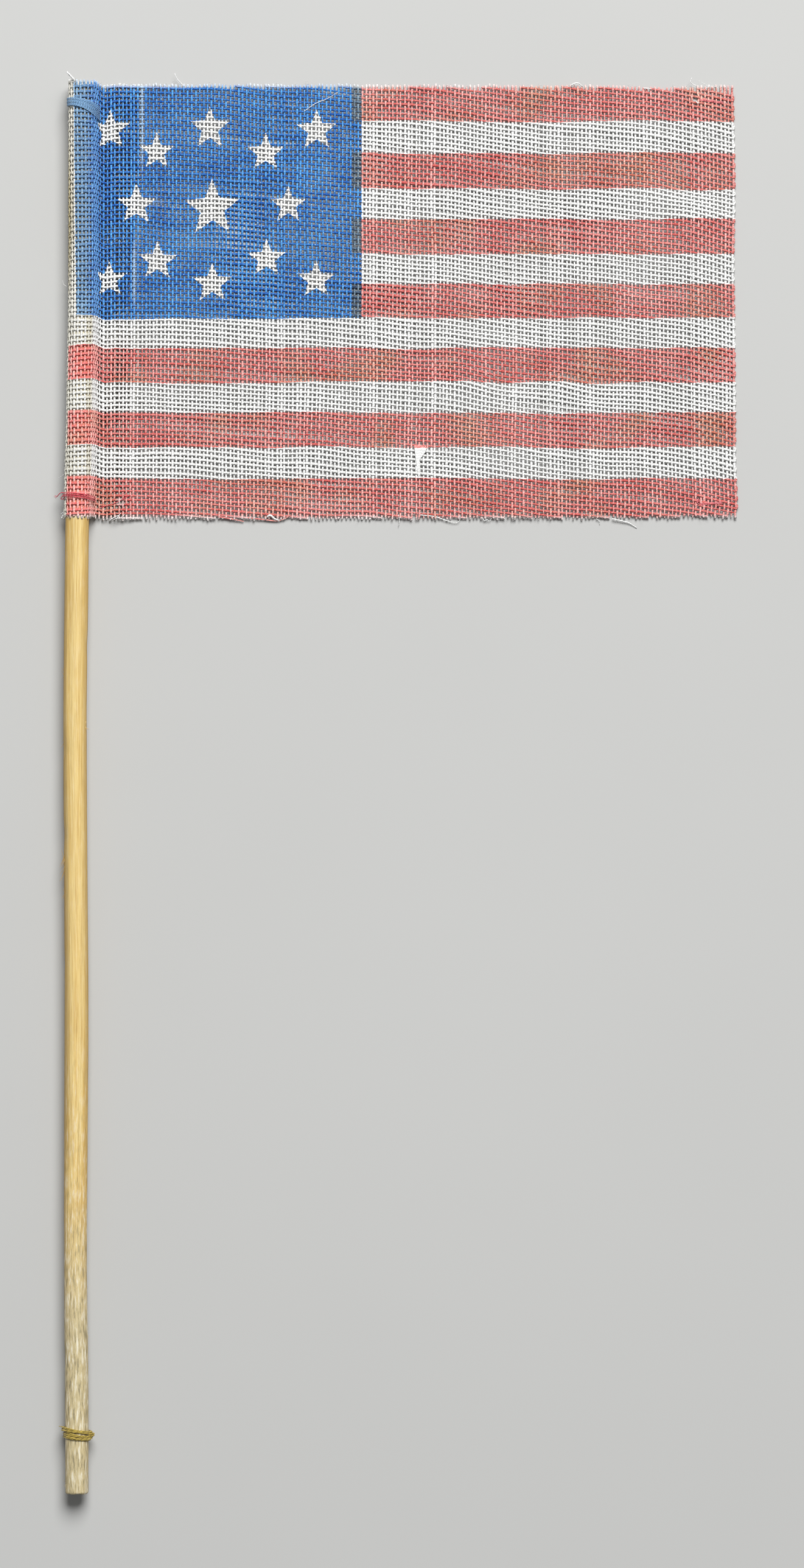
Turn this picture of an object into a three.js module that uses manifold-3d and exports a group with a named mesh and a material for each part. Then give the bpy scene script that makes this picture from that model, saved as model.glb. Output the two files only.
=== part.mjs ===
// A small hand-waved cotton flag on a wooden stick, lying flat, face up.
//
// Millimetres, +Z up. The stick runs along Y with the flag at its +Y end, and the fly runs towards +X.
// The model's origin is the centre of the bottom of its box, on the surface that it lies on.
//
// The cloth is one sheet: its hoist edge goes round the stick and back under itself as a flap. Three
// thread ties are closed bands: two bite into the sleeve, and one is wound on the bare stick.

import * as THREE from "three";
import { mergeVertices } from "three/addons/utils/BufferGeometryUtils.js";
import Module from "manifold-3d";

// ---------------------------------------------------------------- driving dimensions, in millimetres

const GAP = 0.3; // clear space between neighbouring pieces, and between layers of cloth
const SHEET = 1.0; // thickness of the cloth solid

const STICK_RADIUS = 1.775;
const STICK_TOP = -0.7; // the stick's end, just inside the sleeve's top edge
const STICK_BUTT = -210.3;
const STICK_SIDES = 16;
const STICK_STATIONS = 26;
const STICK_SHAVE = 0.05; // how far the hand-shaved sides differ from round

// The stick's slight bow: how far its axis lies to the side, going down from the flag's top edge.
const STICK_BOW = [
  [STICK_TOP, 0], [-30, 0], [-49.3, -0.36], [-65.6, -0.77], [-95, -1.09], [-137, -0.88], [-175, -1.05],
  [-200, -0.84], [STICK_BUTT, -0.82],
];

const HOIST = 65.0; // the cloth's height along the stick
const EDGE_TOP = [[-4, 0], [24, 0], [51, -0.14], [78, -0.2], [86, -0.45], [98, -0.1]];
const EDGE_BOTTOM = [[-4, -HOIST], [33, -HOIST], [78, 0.1 - HOIST], [98, 0.3 - HOIST]];
const EDGE_FLY = [[0, 97.1], [-15, 97.3], [-36, 97.35], [-55, 97.5], [-63, 97.7], [-HOIST, 97.5]];
const EDGE_FLAP = [[0, 8.6], [-13, 8.6], [-23, 7.6], [-33, 7.1], [-HOIST, 6.5]];

// Low ridges that stand off the surface: [centre x, lean per mm of y, half width, height, y, y reach].
const RIDGES = [
  [36, 0.08, 7, 0.45, -14, 26], [63, -0.12, 8, 0.5, -50, 24], [84, 0.1, 7, 0.4, -20, 22],
];

const CLOTH_ROWS = 14; // stations from the top edge to the bottom edge
const FLAP_STEPS = 3;
const SLEEVE_STEPS = 18;
const FILLET_STEPS = 4;
const LEVEL_STEPS = 2;
const DESCENT_STEPS = 5;
const FLAT_STEPS = 20;

const FILLET_RADIUS = 0.9; // of the cloth's middle line where it turns out from the stick
const DESCENT_START = 0.5; // how far past the flap's edge the upper layer starts to drop
const DESCENT_LENGTH = 3.5;

const OUTLINE_STEPS = 18; // sides given to each curve of a band's outline
const TIE_THICKNESS = 0.4;
const TIE_CORNER = 1.0; // radius at which a band turns under the cloth
const TAIL_LIFT = 0.05; // a tail's extra height over its gap to the cloth

const BLUE_TIE = { y: -4.1, width: 1.2, slope: -0.33 };
const RED_TIE = { y: -61.9, width: 0.9, slope: -0.11 };
const YELLOW_TIE = { y: -201.2, width: 2.3, slope: -0.15, thickness: 0.5 };

const COLOURS = { cloth: 0xd9807c, wood: 0xdcbf85, blue: 0x3f6f9f, red: 0xb8232f, yellow: 0xc4a44e };

// ---------------------------------------------------------------- heights that follow from them

const SLEEVE_RADIUS = STICK_RADIUS + GAP + SHEET / 2; // of the cloth's middle line round the stick
const SLEEVE_OUTSIDE = SLEEVE_RADIUS + SHEET / 2;
const UPPER_LAYER = SHEET + GAP + SHEET / 2; // middle of the layer that lies on the flap
const LOWER_LAYER = SHEET / 2;
const STICK_HEIGHT_IN_SLEEVE = SLEEVE_OUTSIDE;
const STICK_HEIGHT_ON_TIE = STICK_RADIUS + GAP + YELLOW_TIE.thickness;

// ---------------------------------------------------------------- small helpers

/** Value at t of a smooth line through [t, value] points that run in one direction. */
function along(points, t) {
  const rising = points[1][0] > points[0][0];
  const last = points.length - 2;
  let k = 0;
  while (k < last && (rising ? t > points[k + 1][0] : t < points[k + 1][0])) k += 1;
  const [t0, v0] = points[k];
  const [t1, v1] = points[k + 1];
  return THREE.MathUtils.lerp(v0, v1, THREE.MathUtils.smoothstep((t - t0) / (t1 - t0), 0, 1));
}

/** Middle of the stick at height y along it. */
function stickAxis(y) {
  const down = THREE.MathUtils.clamp((-HOIST - y) / (-HOIST - YELLOW_TIE.y), 0, 1.1);
  const z = THREE.MathUtils.lerp(STICK_HEIGHT_IN_SLEEVE, STICK_HEIGHT_ON_TIE, down);
  return new THREE.Vector3(along(STICK_BOW, y), y, z);
}

/** How far the cloth's ridges lift it off the surface at a point. */
function ridgeLift(x, y) {
  let lift = 0;
  for (const [centre, lean, half, height, middle, reach] of RIDGES) {
    const across = Math.abs(x - centre - lean * (y - middle)) / half;
    const down = Math.abs(y - middle) / reach;
    if (across < 1 && down < 1) {
      lift += height * Math.cos(across * Math.PI / 2) ** 2 * Math.cos(down * Math.PI / 2) ** 2;
    }
  }
  return lift;
}

/** The cloth's middle line in the plane at y, as points with the direction of the printed side. */
function clothSection(y) {
  const centre = stickAxis(y);
  const flapEdge = along(EDGE_FLAP, y);
  const flyEdge = along(EDGE_FLY, y);
  const points = [];
  const add = (x, z, nx, nz) => points.push({ x, z, nx, nz });

  for (let i = 0; i < FLAP_STEPS; i += 1) {
    add(THREE.MathUtils.lerp(flapEdge, centre.x, i / FLAP_STEPS), LOWER_LAYER, 0, -1);
  }

  const filletHeight = UPPER_LAYER + FILLET_RADIUS;
  const reach = SLEEVE_RADIUS + FILLET_RADIUS;
  const drop = filletHeight - STICK_HEIGHT_IN_SLEEVE;
  const filletX = centre.x + Math.sqrt(reach ** 2 - drop ** 2);
  const tangent = Math.asin(drop / reach);
  for (let i = 0; i <= SLEEVE_STEPS; i += 1) {
    const angle = THREE.MathUtils.lerp(-Math.PI / 2, tangent - 2 * Math.PI, i / SLEEVE_STEPS);
    const [nx, nz] = [Math.cos(angle), Math.sin(angle)];
    add(centre.x + SLEEVE_RADIUS * nx, LOWER_LAYER + SLEEVE_RADIUS * (1 + nz), nx, nz);
  }
  for (let i = 1; i <= FILLET_STEPS; i += 1) {
    const angle = THREE.MathUtils.lerp(Math.PI + tangent, 1.5 * Math.PI, i / FILLET_STEPS);
    const [nx, nz] = [Math.cos(angle), Math.sin(angle)];
    add(filletX + FILLET_RADIUS * nx, filletHeight + FILLET_RADIUS * nz, -nx, -nz);
  }

  const edge = flapEdge + DESCENT_START;
  for (let i = 1; i <= LEVEL_STEPS; i += 1) {
    add(THREE.MathUtils.lerp(filletX, edge, i / LEVEL_STEPS), UPPER_LAYER, 0, 1);
  }
  const fall = UPPER_LAYER - LOWER_LAYER;
  for (let i = 1; i <= DESCENT_STEPS; i += 1) {
    const t = i / DESCENT_STEPS;
    const slope = -fall * 6 * t * (1 - t) / DESCENT_LENGTH;
    const length = Math.hypot(1, slope);
    const z = UPPER_LAYER - fall * THREE.MathUtils.smoothstep(t, 0, 1);
    add(edge + DESCENT_LENGTH * t, z, -slope / length, 1 / length);
  }
  const flatStart = edge + DESCENT_LENGTH;
  for (let i = 1; i <= FLAT_STEPS; i += 1) {
    const x = THREE.MathUtils.lerp(flatStart, flyEdge, i / FLAT_STEPS);
    add(x, LOWER_LAYER + ridgeLift(x, y), 0, 1);
  }
  return points;
}

/** One closed sheet of thickness SHEET on the sections of all rows. */
function clothGeometry() {
  const rows = [];
  for (let j = 0; j < CLOTH_ROWS; j += 1) {
    const t = j / (CLOTH_ROWS - 1);
    rows.push(clothSection(-HOIST * t).map((p) => {
      const y = THREE.MathUtils.lerp(along(EDGE_TOP, p.x), along(EDGE_BOTTOM, p.x), t);
      return { ...p, y };
    }));
  }
  const columns = rows[0].length;
  const positions = [];
  for (const side of [1, -1]) {
    for (const row of rows) {
      for (const p of row) positions.push(p.x + side * p.nx * SHEET / 2, p.y, p.z + side * p.nz * SHEET / 2);
    }
  }
  const printed = (j, i) => j * columns + i;
  const back = (j, i) => (CLOTH_ROWS + j) * columns + i;
  const index = [];
  const quad = (a, b, c, d) => index.push(a, b, c, a, c, d);
  for (let j = 0; j < CLOTH_ROWS - 1; j += 1) {
    for (let i = 0; i < columns - 1; i += 1) {
      quad(printed(j, i), printed(j + 1, i), printed(j + 1, i + 1), printed(j, i + 1));
      quad(back(j, i), back(j, i + 1), back(j + 1, i + 1), back(j + 1, i));
    }
    quad(printed(j, 0), back(j, 0), back(j + 1, 0), printed(j + 1, 0));
    const e = columns - 1;
    quad(printed(j, e), printed(j + 1, e), back(j + 1, e), back(j, e));
  }
  const bottom = CLOTH_ROWS - 1;
  for (let i = 0; i < columns - 1; i += 1) {
    quad(printed(0, i), printed(0, i + 1), back(0, i + 1), back(0, i));
    quad(printed(bottom, i), back(bottom, i), back(bottom, i + 1), printed(bottom, i + 1));
  }
  return closedGeometry(positions, index);
}

function closedGeometry(positions, index) {
  const geometry = new THREE.BufferGeometry();
  geometry.setAttribute("position", new THREE.Float32BufferAttribute(positions, 3));
  geometry.setIndex(index);
  return geometry;
}

/** The wooden stick: rings of hand-shaved section along its bowed axis, with flat ends. */
function stickGeometry() {
  const positions = [];
  const index = [];
  const ring = (k, s) => k * STICK_SIDES + (s % STICK_SIDES);
  for (let k = 0; k < STICK_STATIONS; k += 1) {
    const y = THREE.MathUtils.lerp(STICK_TOP, STICK_BUTT, k / (STICK_STATIONS - 1));
    const axis = stickAxis(y);
    for (let s = 0; s < STICK_SIDES; s += 1) {
      const angle = 2 * Math.PI * s / STICK_SIDES;
      const radius = STICK_RADIUS - STICK_SHAVE * (0.5 + 0.5 * Math.sin(3 * angle + y / 13));
      positions.push(axis.x + radius * Math.cos(angle), y, axis.z + radius * Math.sin(angle));
    }
  }
  for (let k = 0; k < STICK_STATIONS - 1; k += 1) {
    for (let s = 0; s < STICK_SIDES; s += 1) {
      index.push(ring(k, s), ring(k + 1, s + 1), ring(k + 1, s));
      index.push(ring(k, s), ring(k, s + 1), ring(k + 1, s + 1));
    }
  }
  const last = STICK_STATIONS - 1;
  for (let s = 1; s < STICK_SIDES - 1; s += 1) {
    index.push(ring(0, 0), ring(0, s + 1), ring(0, s));
    index.push(ring(last, 0), ring(last, s), ring(last, s + 1));
  }
  return closedGeometry(positions, index);
}

// ---------------------------------------------------------------- thread ties

/** Outline of a band drawn round the sleeve: round at the stick, square down beside it, flat below. */
function sleeveOutline(target, radius, corner) {
  target.moveTo(0, -radius);
  target.lineTo(radius - corner, -radius);
  target.absarc(radius - corner, corner - radius, corner, -Math.PI / 2, 0, false);
  target.lineTo(radius, 0);
  target.absarc(0, 0, radius, 0, 1.5 * Math.PI, false);
  return target;
}

function roundOutline(target, radius) {
  target.absarc(0, 0, radius, 0, 2 * Math.PI, false);
  return target;
}

/** A closed band between two outlines, wound at a slope round the stick's axis at y. */
function bandGeometry(outer, inner, { y, width, slope }) {
  outer.holes.push(inner);
  const settings = { depth: width, bevelEnabled: false, curveSegments: OUTLINE_STEPS };
  const geometry = new THREE.ExtrudeGeometry(outer, settings);
  geometry.translate(0, 0, -width / 2);
  geometry.rotateX(Math.PI / 2);
  geometry.applyMatrix4(new THREE.Matrix4().makeShear(slope, 0, 0, 0, 0, 0));
  const axis = stickAxis(y);
  geometry.translate(axis.x, axis.y, axis.z);
  return geometry;
}

/** A band round the sleeve, grown by a margin on every side. */
function sleeveBand(tie, margin = 0) {
  const outside = SLEEVE_OUTSIDE + margin;
  const inside = SLEEVE_OUTSIDE - TIE_THICKNESS - margin;
  return bandGeometry(
    sleeveOutline(new THREE.Shape(), outside, TIE_CORNER + margin),
    sleeveOutline(new THREE.Path(), inside, TIE_CORNER - TIE_THICKNESS - margin),
    { ...tie, width: tie.width + 2 * margin },
  );
}

/** A loose end or loop of thread: a square bar along a curve, grown by a margin on every side. */
function threadEnd(points, margin = 0) {
  const path = new THREE.CatmullRomCurve3(points.map((p) => new THREE.Vector3(...p)));
  const half = TIE_THICKNESS / 2 + margin;
  const section = new THREE.Shape([
    new THREE.Vector2(-half, -half), new THREE.Vector2(half, -half),
    new THREE.Vector2(half, half), new THREE.Vector2(-half, half),
  ]);
  return new THREE.ExtrudeGeometry(section, { steps: 10, extrudePath: path, bevelEnabled: false });
}

// ---------------------------------------------------------------- solids

const wasm = await Module();
wasm.setup();

function solid(geometry) {
  const bare = geometry.clone();
  bare.deleteAttribute("normal");
  bare.deleteAttribute("uv");
  const merged = mergeVertices(bare, 1e-4);
  const mesh = new wasm.Mesh({
    numProp: 3,
    vertProperties: new Float32Array(merged.attributes.position.array),
    triVerts: new Uint32Array(merged.index.array),
  });
  return new wasm.Manifold(mesh);
}

function geometryOf(manifold) {
  const { vertProperties, triVerts } = manifold.getMesh();
  return closedGeometry(Array.from(vertProperties), Array.from(triVerts));
}

const redAxis = stickAxis(RED_TIE.y);
const tailHeight = UPPER_LAYER + SHEET / 2 + GAP + TAIL_LIFT + TIE_THICKNESS / 2;
const bandMiddle = SLEEVE_OUTSIDE - TIE_THICKNESS / 2;
const redTail = [
  [redAxis.x + bandMiddle, RED_TIE.y - 0.35, tailHeight],
  [redAxis.x + bandMiddle + 0.5, RED_TIE.y - 1.0, tailHeight],
  [redAxis.x + bandMiddle + 2.4, RED_TIE.y - 0.5, tailHeight],
  [redAxis.x + bandMiddle + 5.0, RED_TIE.y + 0.5, tailHeight],
];
const redKnot = [
  [redAxis.x - bandMiddle, RED_TIE.y + 0.3, redAxis.z],
  [redAxis.x - bandMiddle - 0.5, RED_TIE.y + 0.2, redAxis.z - 0.1],
  [redAxis.x - bandMiddle - 0.9, RED_TIE.y, redAxis.z - 0.4],
];

const yellowAxis = stickAxis(YELLOW_TIE.y);
const yellowInside = STICK_RADIUS + GAP;
const yellowOutside = yellowInside + YELLOW_TIE.thickness;
const yellowMiddle = (yellowInside + yellowOutside) / 2;
const yellowLoop = [
  [yellowAxis.x + yellowMiddle, YELLOW_TIE.y + 0.3, yellowAxis.z + 0.3],
  [yellowAxis.x + yellowOutside + 0.15, YELLOW_TIE.y, yellowAxis.z],
  [yellowAxis.x + yellowMiddle, YELLOW_TIE.y - 0.9, yellowAxis.z - 0.3],
];
const yellowEnd = [
  [yellowAxis.x - yellowMiddle, YELLOW_TIE.y + 0.9, yellowAxis.z],
  [yellowAxis.x - yellowOutside - 0.2, YELLOW_TIE.y + 0.95, yellowAxis.z - 0.1],
  [yellowAxis.x - yellowOutside - 0.4, YELLOW_TIE.y + 1.1, yellowAxis.z - 0.3],
];

const cloth = solid(clothGeometry())
  .subtract(solid(sleeveBand(BLUE_TIE, GAP)))
  .subtract(solid(sleeveBand(RED_TIE, GAP)))
  .subtract(solid(threadEnd(redTail, GAP)));
const blueTie = solid(sleeveBand(BLUE_TIE));
const redTie = solid(sleeveBand(RED_TIE)).add(solid(threadEnd(redTail))).add(solid(threadEnd(redKnot)));
const yellowBand = bandGeometry(
  roundOutline(new THREE.Shape(), yellowOutside), roundOutline(new THREE.Path(), yellowInside), YELLOW_TIE,
);
const yellowTie = solid(yellowBand).add(solid(threadEnd(yellowLoop))).add(solid(threadEnd(yellowEnd)));

// ---------------------------------------------------------------- the scene graph

const flag = new THREE.Group();

function addPiece(name, geometry, color, roughness) {
  geometry.computeVertexNormals();
  const material = new THREE.MeshStandardMaterial({ color, roughness, metalness: 0 });
  const mesh = new THREE.Mesh(geometry, material);
  mesh.name = name;
  flag.add(mesh);
}

addPiece("flag_cloth", geometryOf(cloth), COLOURS.cloth, 0.9);
addPiece("stick", stickGeometry(), COLOURS.wood, 0.7);
addPiece("blue_tie", geometryOf(blueTie), COLOURS.blue, 0.8);
addPiece("red_tie", geometryOf(redTie), COLOURS.red, 0.8);
addPiece("yellow_tie", geometryOf(yellowTie), COLOURS.yellow, 0.8);

// Bottom centre of the whole box to the origin.
const box = new THREE.Box3().setFromObject(flag, true);
const middle = box.getCenter(new THREE.Vector3());
flag.position.set(-middle.x, -middle.y, -box.min.z);

export default flag;
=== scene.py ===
"""A small hand-waved cotton flag on a wooden stick, frayed at its edges, lying face up on a surface.

Flag space is used throughout, in millimetres: x runs from the stick's axis towards the fly, y is 0 at
the hoist's top edge and falls towards the stick's butt, and z is the height over the surface.
On the cloth itself, s runs along the level threads and t along the upright ones: where the cloth lies
flat, s is x and t is -y, and round the stick and under it s goes on along the cloth.
"""

import logging
import math
from dataclasses import dataclass, field
from enum import Enum
from functools import partial
from typing import Any, Callable, Sequence

import bpy
import numpy as np
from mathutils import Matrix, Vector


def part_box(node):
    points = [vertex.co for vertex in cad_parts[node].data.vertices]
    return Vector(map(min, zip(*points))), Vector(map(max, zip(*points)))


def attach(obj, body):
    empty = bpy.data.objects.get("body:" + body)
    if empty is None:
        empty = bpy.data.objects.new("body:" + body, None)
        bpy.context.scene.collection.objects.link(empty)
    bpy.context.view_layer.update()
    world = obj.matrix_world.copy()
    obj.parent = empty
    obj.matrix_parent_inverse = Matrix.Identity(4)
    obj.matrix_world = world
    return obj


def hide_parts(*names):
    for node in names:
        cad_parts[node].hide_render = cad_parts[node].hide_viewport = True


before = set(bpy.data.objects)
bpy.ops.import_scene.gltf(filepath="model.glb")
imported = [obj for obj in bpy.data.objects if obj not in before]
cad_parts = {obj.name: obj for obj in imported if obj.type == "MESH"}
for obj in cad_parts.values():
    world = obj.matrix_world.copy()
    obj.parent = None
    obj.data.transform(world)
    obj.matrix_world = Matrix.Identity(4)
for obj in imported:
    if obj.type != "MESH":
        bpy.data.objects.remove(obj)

LOG = logging.getLogger("flag")
Array = np.ndarray

MM = 0.001  # metres in a millimetre
ROOT = "root"

HOIST = 65.0  # the cloth's height along the stick
BLUE_TIE_T = 4.1  # where the ties cross the stick, down from the top edge
RED_TIE_T = 61.9
YELLOW_TIE_Y = -201.2
UPRIGHT_PITCH = 0.577  # between the cloth's upright threads

# How far the sleeve's cloth lies off its place along the stick, as [x, y], at the top and the bottom.
SHIFT_TOP = ((-4, 0.34), (1.8, 0.3), (3.3, -0.3), (5.2, 0))
SHIFT_BOTTOM = ((-4, 0.15), (1.8, 0.15), (3.3, -0.1), (5.2, 0))

# The cloth's raw edges, as [s, t] along the top and bottom and [t, x] down the fly and the flap.
CUT_TOP = ((-4, 0), (24, 0), (51, 0.14), (78, 0.2), (86, 0.42), (98, 0.12))
CUT_BOTTOM = ((-4, 65), (33, 65), (78, 64.9), (98, 64.7))
EDGE_FLY = ((0, 97.1), (15, 97.3), (36, 97.35), (55, 97.5), (63, 97.7), (65, 97.5))
EDGE_FLAP = ((0, 8.6), (13, 8.6), (23, 7.6), (33, 7.1), (65, 6.5))

# The cloth was woven and cut off its grain: [x, how far a level thread falls for each millimetre of x].
SLANT = ((6, 0.0), (15, 0.05), (22, 0.085), (37, 0.09), (44, 0.065), (51, 0.09), (58, 0.163), (66, 0.13),
         (73, 0.115), (80, 0.108), (88, 0.152), (92, 0.226), (97, 0.25))

# Low ridges that stand off the surface: centre x, lean, half width, height, middle t, reach in t.
RIDGES = ((36, -0.08, 7, 0.45, 14, 26), (63, 0.12, 8, 0.5, 50, 24), (84, -0.1, 7, 0.4, 20, 22))


# --- small helpers


def linear(colour: str) -> tuple[float, float, float, float]:
    """Turn an sRGB hex colour into the linear colour that shaders use.

    Args:
        colour: six hex digits, with or without a leading #.

    Returns:
        Red, green, blue and an alpha of 1.
    """
    digits = colour.lstrip("#")
    parts = [int(digits[k:k + 2], 16) / 255 for k in (0, 2, 4)]
    red, green, blue = (p / 12.92 if p <= 0.04045 else ((p + 0.055) / 1.055) ** 2.4 for p in parts)
    return red, green, blue, 1.0


def smooth(value: Any) -> Any:
    """Ease a number or an array from 0 to 1 with level ends."""
    held = np.clip(value, 0.0, 1.0)
    return held * held * (3 - 2 * held)


def along(points: Sequence[Sequence[float]], at: Any) -> Any:
    """Value of an eased line through [place, value] points.

    Args:
        points: the points, with rising places.
        at: the place or places to read.

    Returns:
        The value at each place.
    """
    places, values = np.array(points, float).T
    k = np.clip(np.searchsorted(places, at) - 1, 0, len(places) - 2)
    share = (np.asarray(at, float) - places[k]) / (places[k + 1] - places[k])
    return values[k] + (values[k + 1] - values[k]) * smooth(share)


def unit(vectors: Array) -> Array:
    """Scale each vector of an array to length 1."""
    return vectors / np.maximum(np.linalg.norm(vectors, axis=-1, keepdims=True), 1e-9)


def travelled(path: Array) -> Array:
    """Distance along a path's straight parts at each of its points."""
    return np.concatenate([[0], np.cumsum(np.linalg.norm(np.diff(path, axis=0), axis=1))])


def sides_of(path: Array, up: Any) -> tuple[Array, Array]:
    """Find which way lies across a path at each of its points.

    Args:
        path: the points.
        up: which way the path's top faces, one vector or one a point.

    Returns:
        Unit vectors to the path's side and, square to them, towards its top.
    """
    heading = unit(np.gradient(path, axis=0))
    side = unit(np.cross(heading, up))
    return side, np.cross(side, heading)


def curve_through(points: Sequence[Sequence[float]], step: float) -> Array:
    """Sample a smooth curve through points at even steps.

    Args:
        points: the points that it passes, each with the same number of values.
        step: about how far apart the samples lie, in millimetres.

    Returns:
        The samples, one row each.
    """
    given = np.array(points, float)
    ends = np.vstack([2 * given[0] - given[1], given, 2 * given[-1] - given[-2]])
    fine = []
    for k in range(1, len(ends) - 2):
        before, start, end, after = ends[k - 1:k + 3]
        u = np.linspace(0, 1, 24, endpoint=False)[:, None]
        fine.append(0.5 * (2 * start + (end - before) * u + (2 * before - 5 * start + 4 * end - after) * u**2
                           + (3 * start - 3 * end + after - before) * u**3))
    dense = np.vstack([*fine, ends[-2]])
    run = travelled(dense)
    stops = np.linspace(0, run[-1], max(int(round(run[-1] / step)), 3) + 1)
    return np.stack([np.interp(stops, run, column) for column in dense.T], 1)


class Wander:
    """Seeded smooth noise over a plane, with no value tied to its neighbours past one step."""

    count = 160  # lattice values each way, after which the noise repeats
    origin = (60, 20)  # the lattice value that lies at s, t = 0

    def __init__(self, seed: int, step_s: float, step_t: float, amount: float) -> None:
        """Draw the lattice.

        Args:
            seed: seed of its random numbers.
            step_s: lattice step along s, in millimetres.
            step_t: lattice step along t.
            amount: standard deviation of the values.
        """
        self.steps = (step_s, step_t)
        self.lattice = np.random.default_rng(seed).normal(0, amount, (self.count, self.count))

    def at(self, s: Any, t: Any) -> Array:
        """Read the noise at places on the plane.

        Args:
            s: places along s.
            t: places along t, of a like shape.

        Returns:
            The noise there.
        """
        u = np.asarray(s, float) / self.steps[0] + self.origin[0]
        v = np.asarray(t, float) / self.steps[1] + self.origin[1]
        i, j = np.floor(u).astype(int), np.floor(v).astype(int)
        a, b = smooth(u - i), smooth(v - j)
        near, far = (self.lattice[k % self.count, j % self.count] * (1 - b)
                     + self.lattice[k % self.count, (j + 1) % self.count] * b for k in (i, i + 1))
        return near * (1 - a) + far * a


# --- where things lie


@dataclass(frozen=True)
class Layout:
    """Where flag space's origin lies in the frame."""

    x: float
    y: float

    @classmethod
    def from_frame(cls) -> "Layout":
        """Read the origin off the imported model: over the blue tie's middle, at the cloth's top edge.

        Returns:
            The layout.
        """
        tie_low, tie_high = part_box("blue_tie")
        _, cloth_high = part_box("flag_cloth")
        return cls(x=(tie_low[0] + tie_high[0]) / 2 / MM, y=cloth_high[1] / MM)

    def to_metres(self, points: Array) -> Array:
        """Turn flag space points, in millimetres, into the frame's metres."""
        return (points + np.array([self.x, self.y, 0.0])) * MM

    def from_metres(self, points: Array) -> Array:
        """Turn the frame's metres into flag space."""
        return points / MM - np.array([self.x, self.y, 0.0])


class StickAxis:
    """The stick's bowed middle line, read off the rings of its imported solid."""

    def __init__(self, layout: Layout) -> None:
        """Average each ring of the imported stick.

        Args:
            layout: flag space's place in the frame.
        """
        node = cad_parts["stick"]
        places = layout.from_metres(np.array([v.co[:] for v in node.data.vertices]))
        rings: dict[float, list[Array]] = {}
        for place in np.unique(places.round(3), axis=0):
            rings.setdefault(round(float(place[1]), 1), []).append(place)
        centres = [np.mean(ring, axis=0) for ring in rings.values() if len(ring) > 8]
        self.centres = np.array(sorted(centres, key=lambda c: c[1]))
        self.top, self.butt = float(self.centres[-1, 1]), float(self.centres[0, 1])

    def at(self, y: Any) -> tuple[Any, Any]:
        """Give the axis's x and z at a height y along the stick, or at many."""
        x, stops, z = self.centres.T
        return np.interp(y, stops, x), np.interp(y, stops, z)


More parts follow.
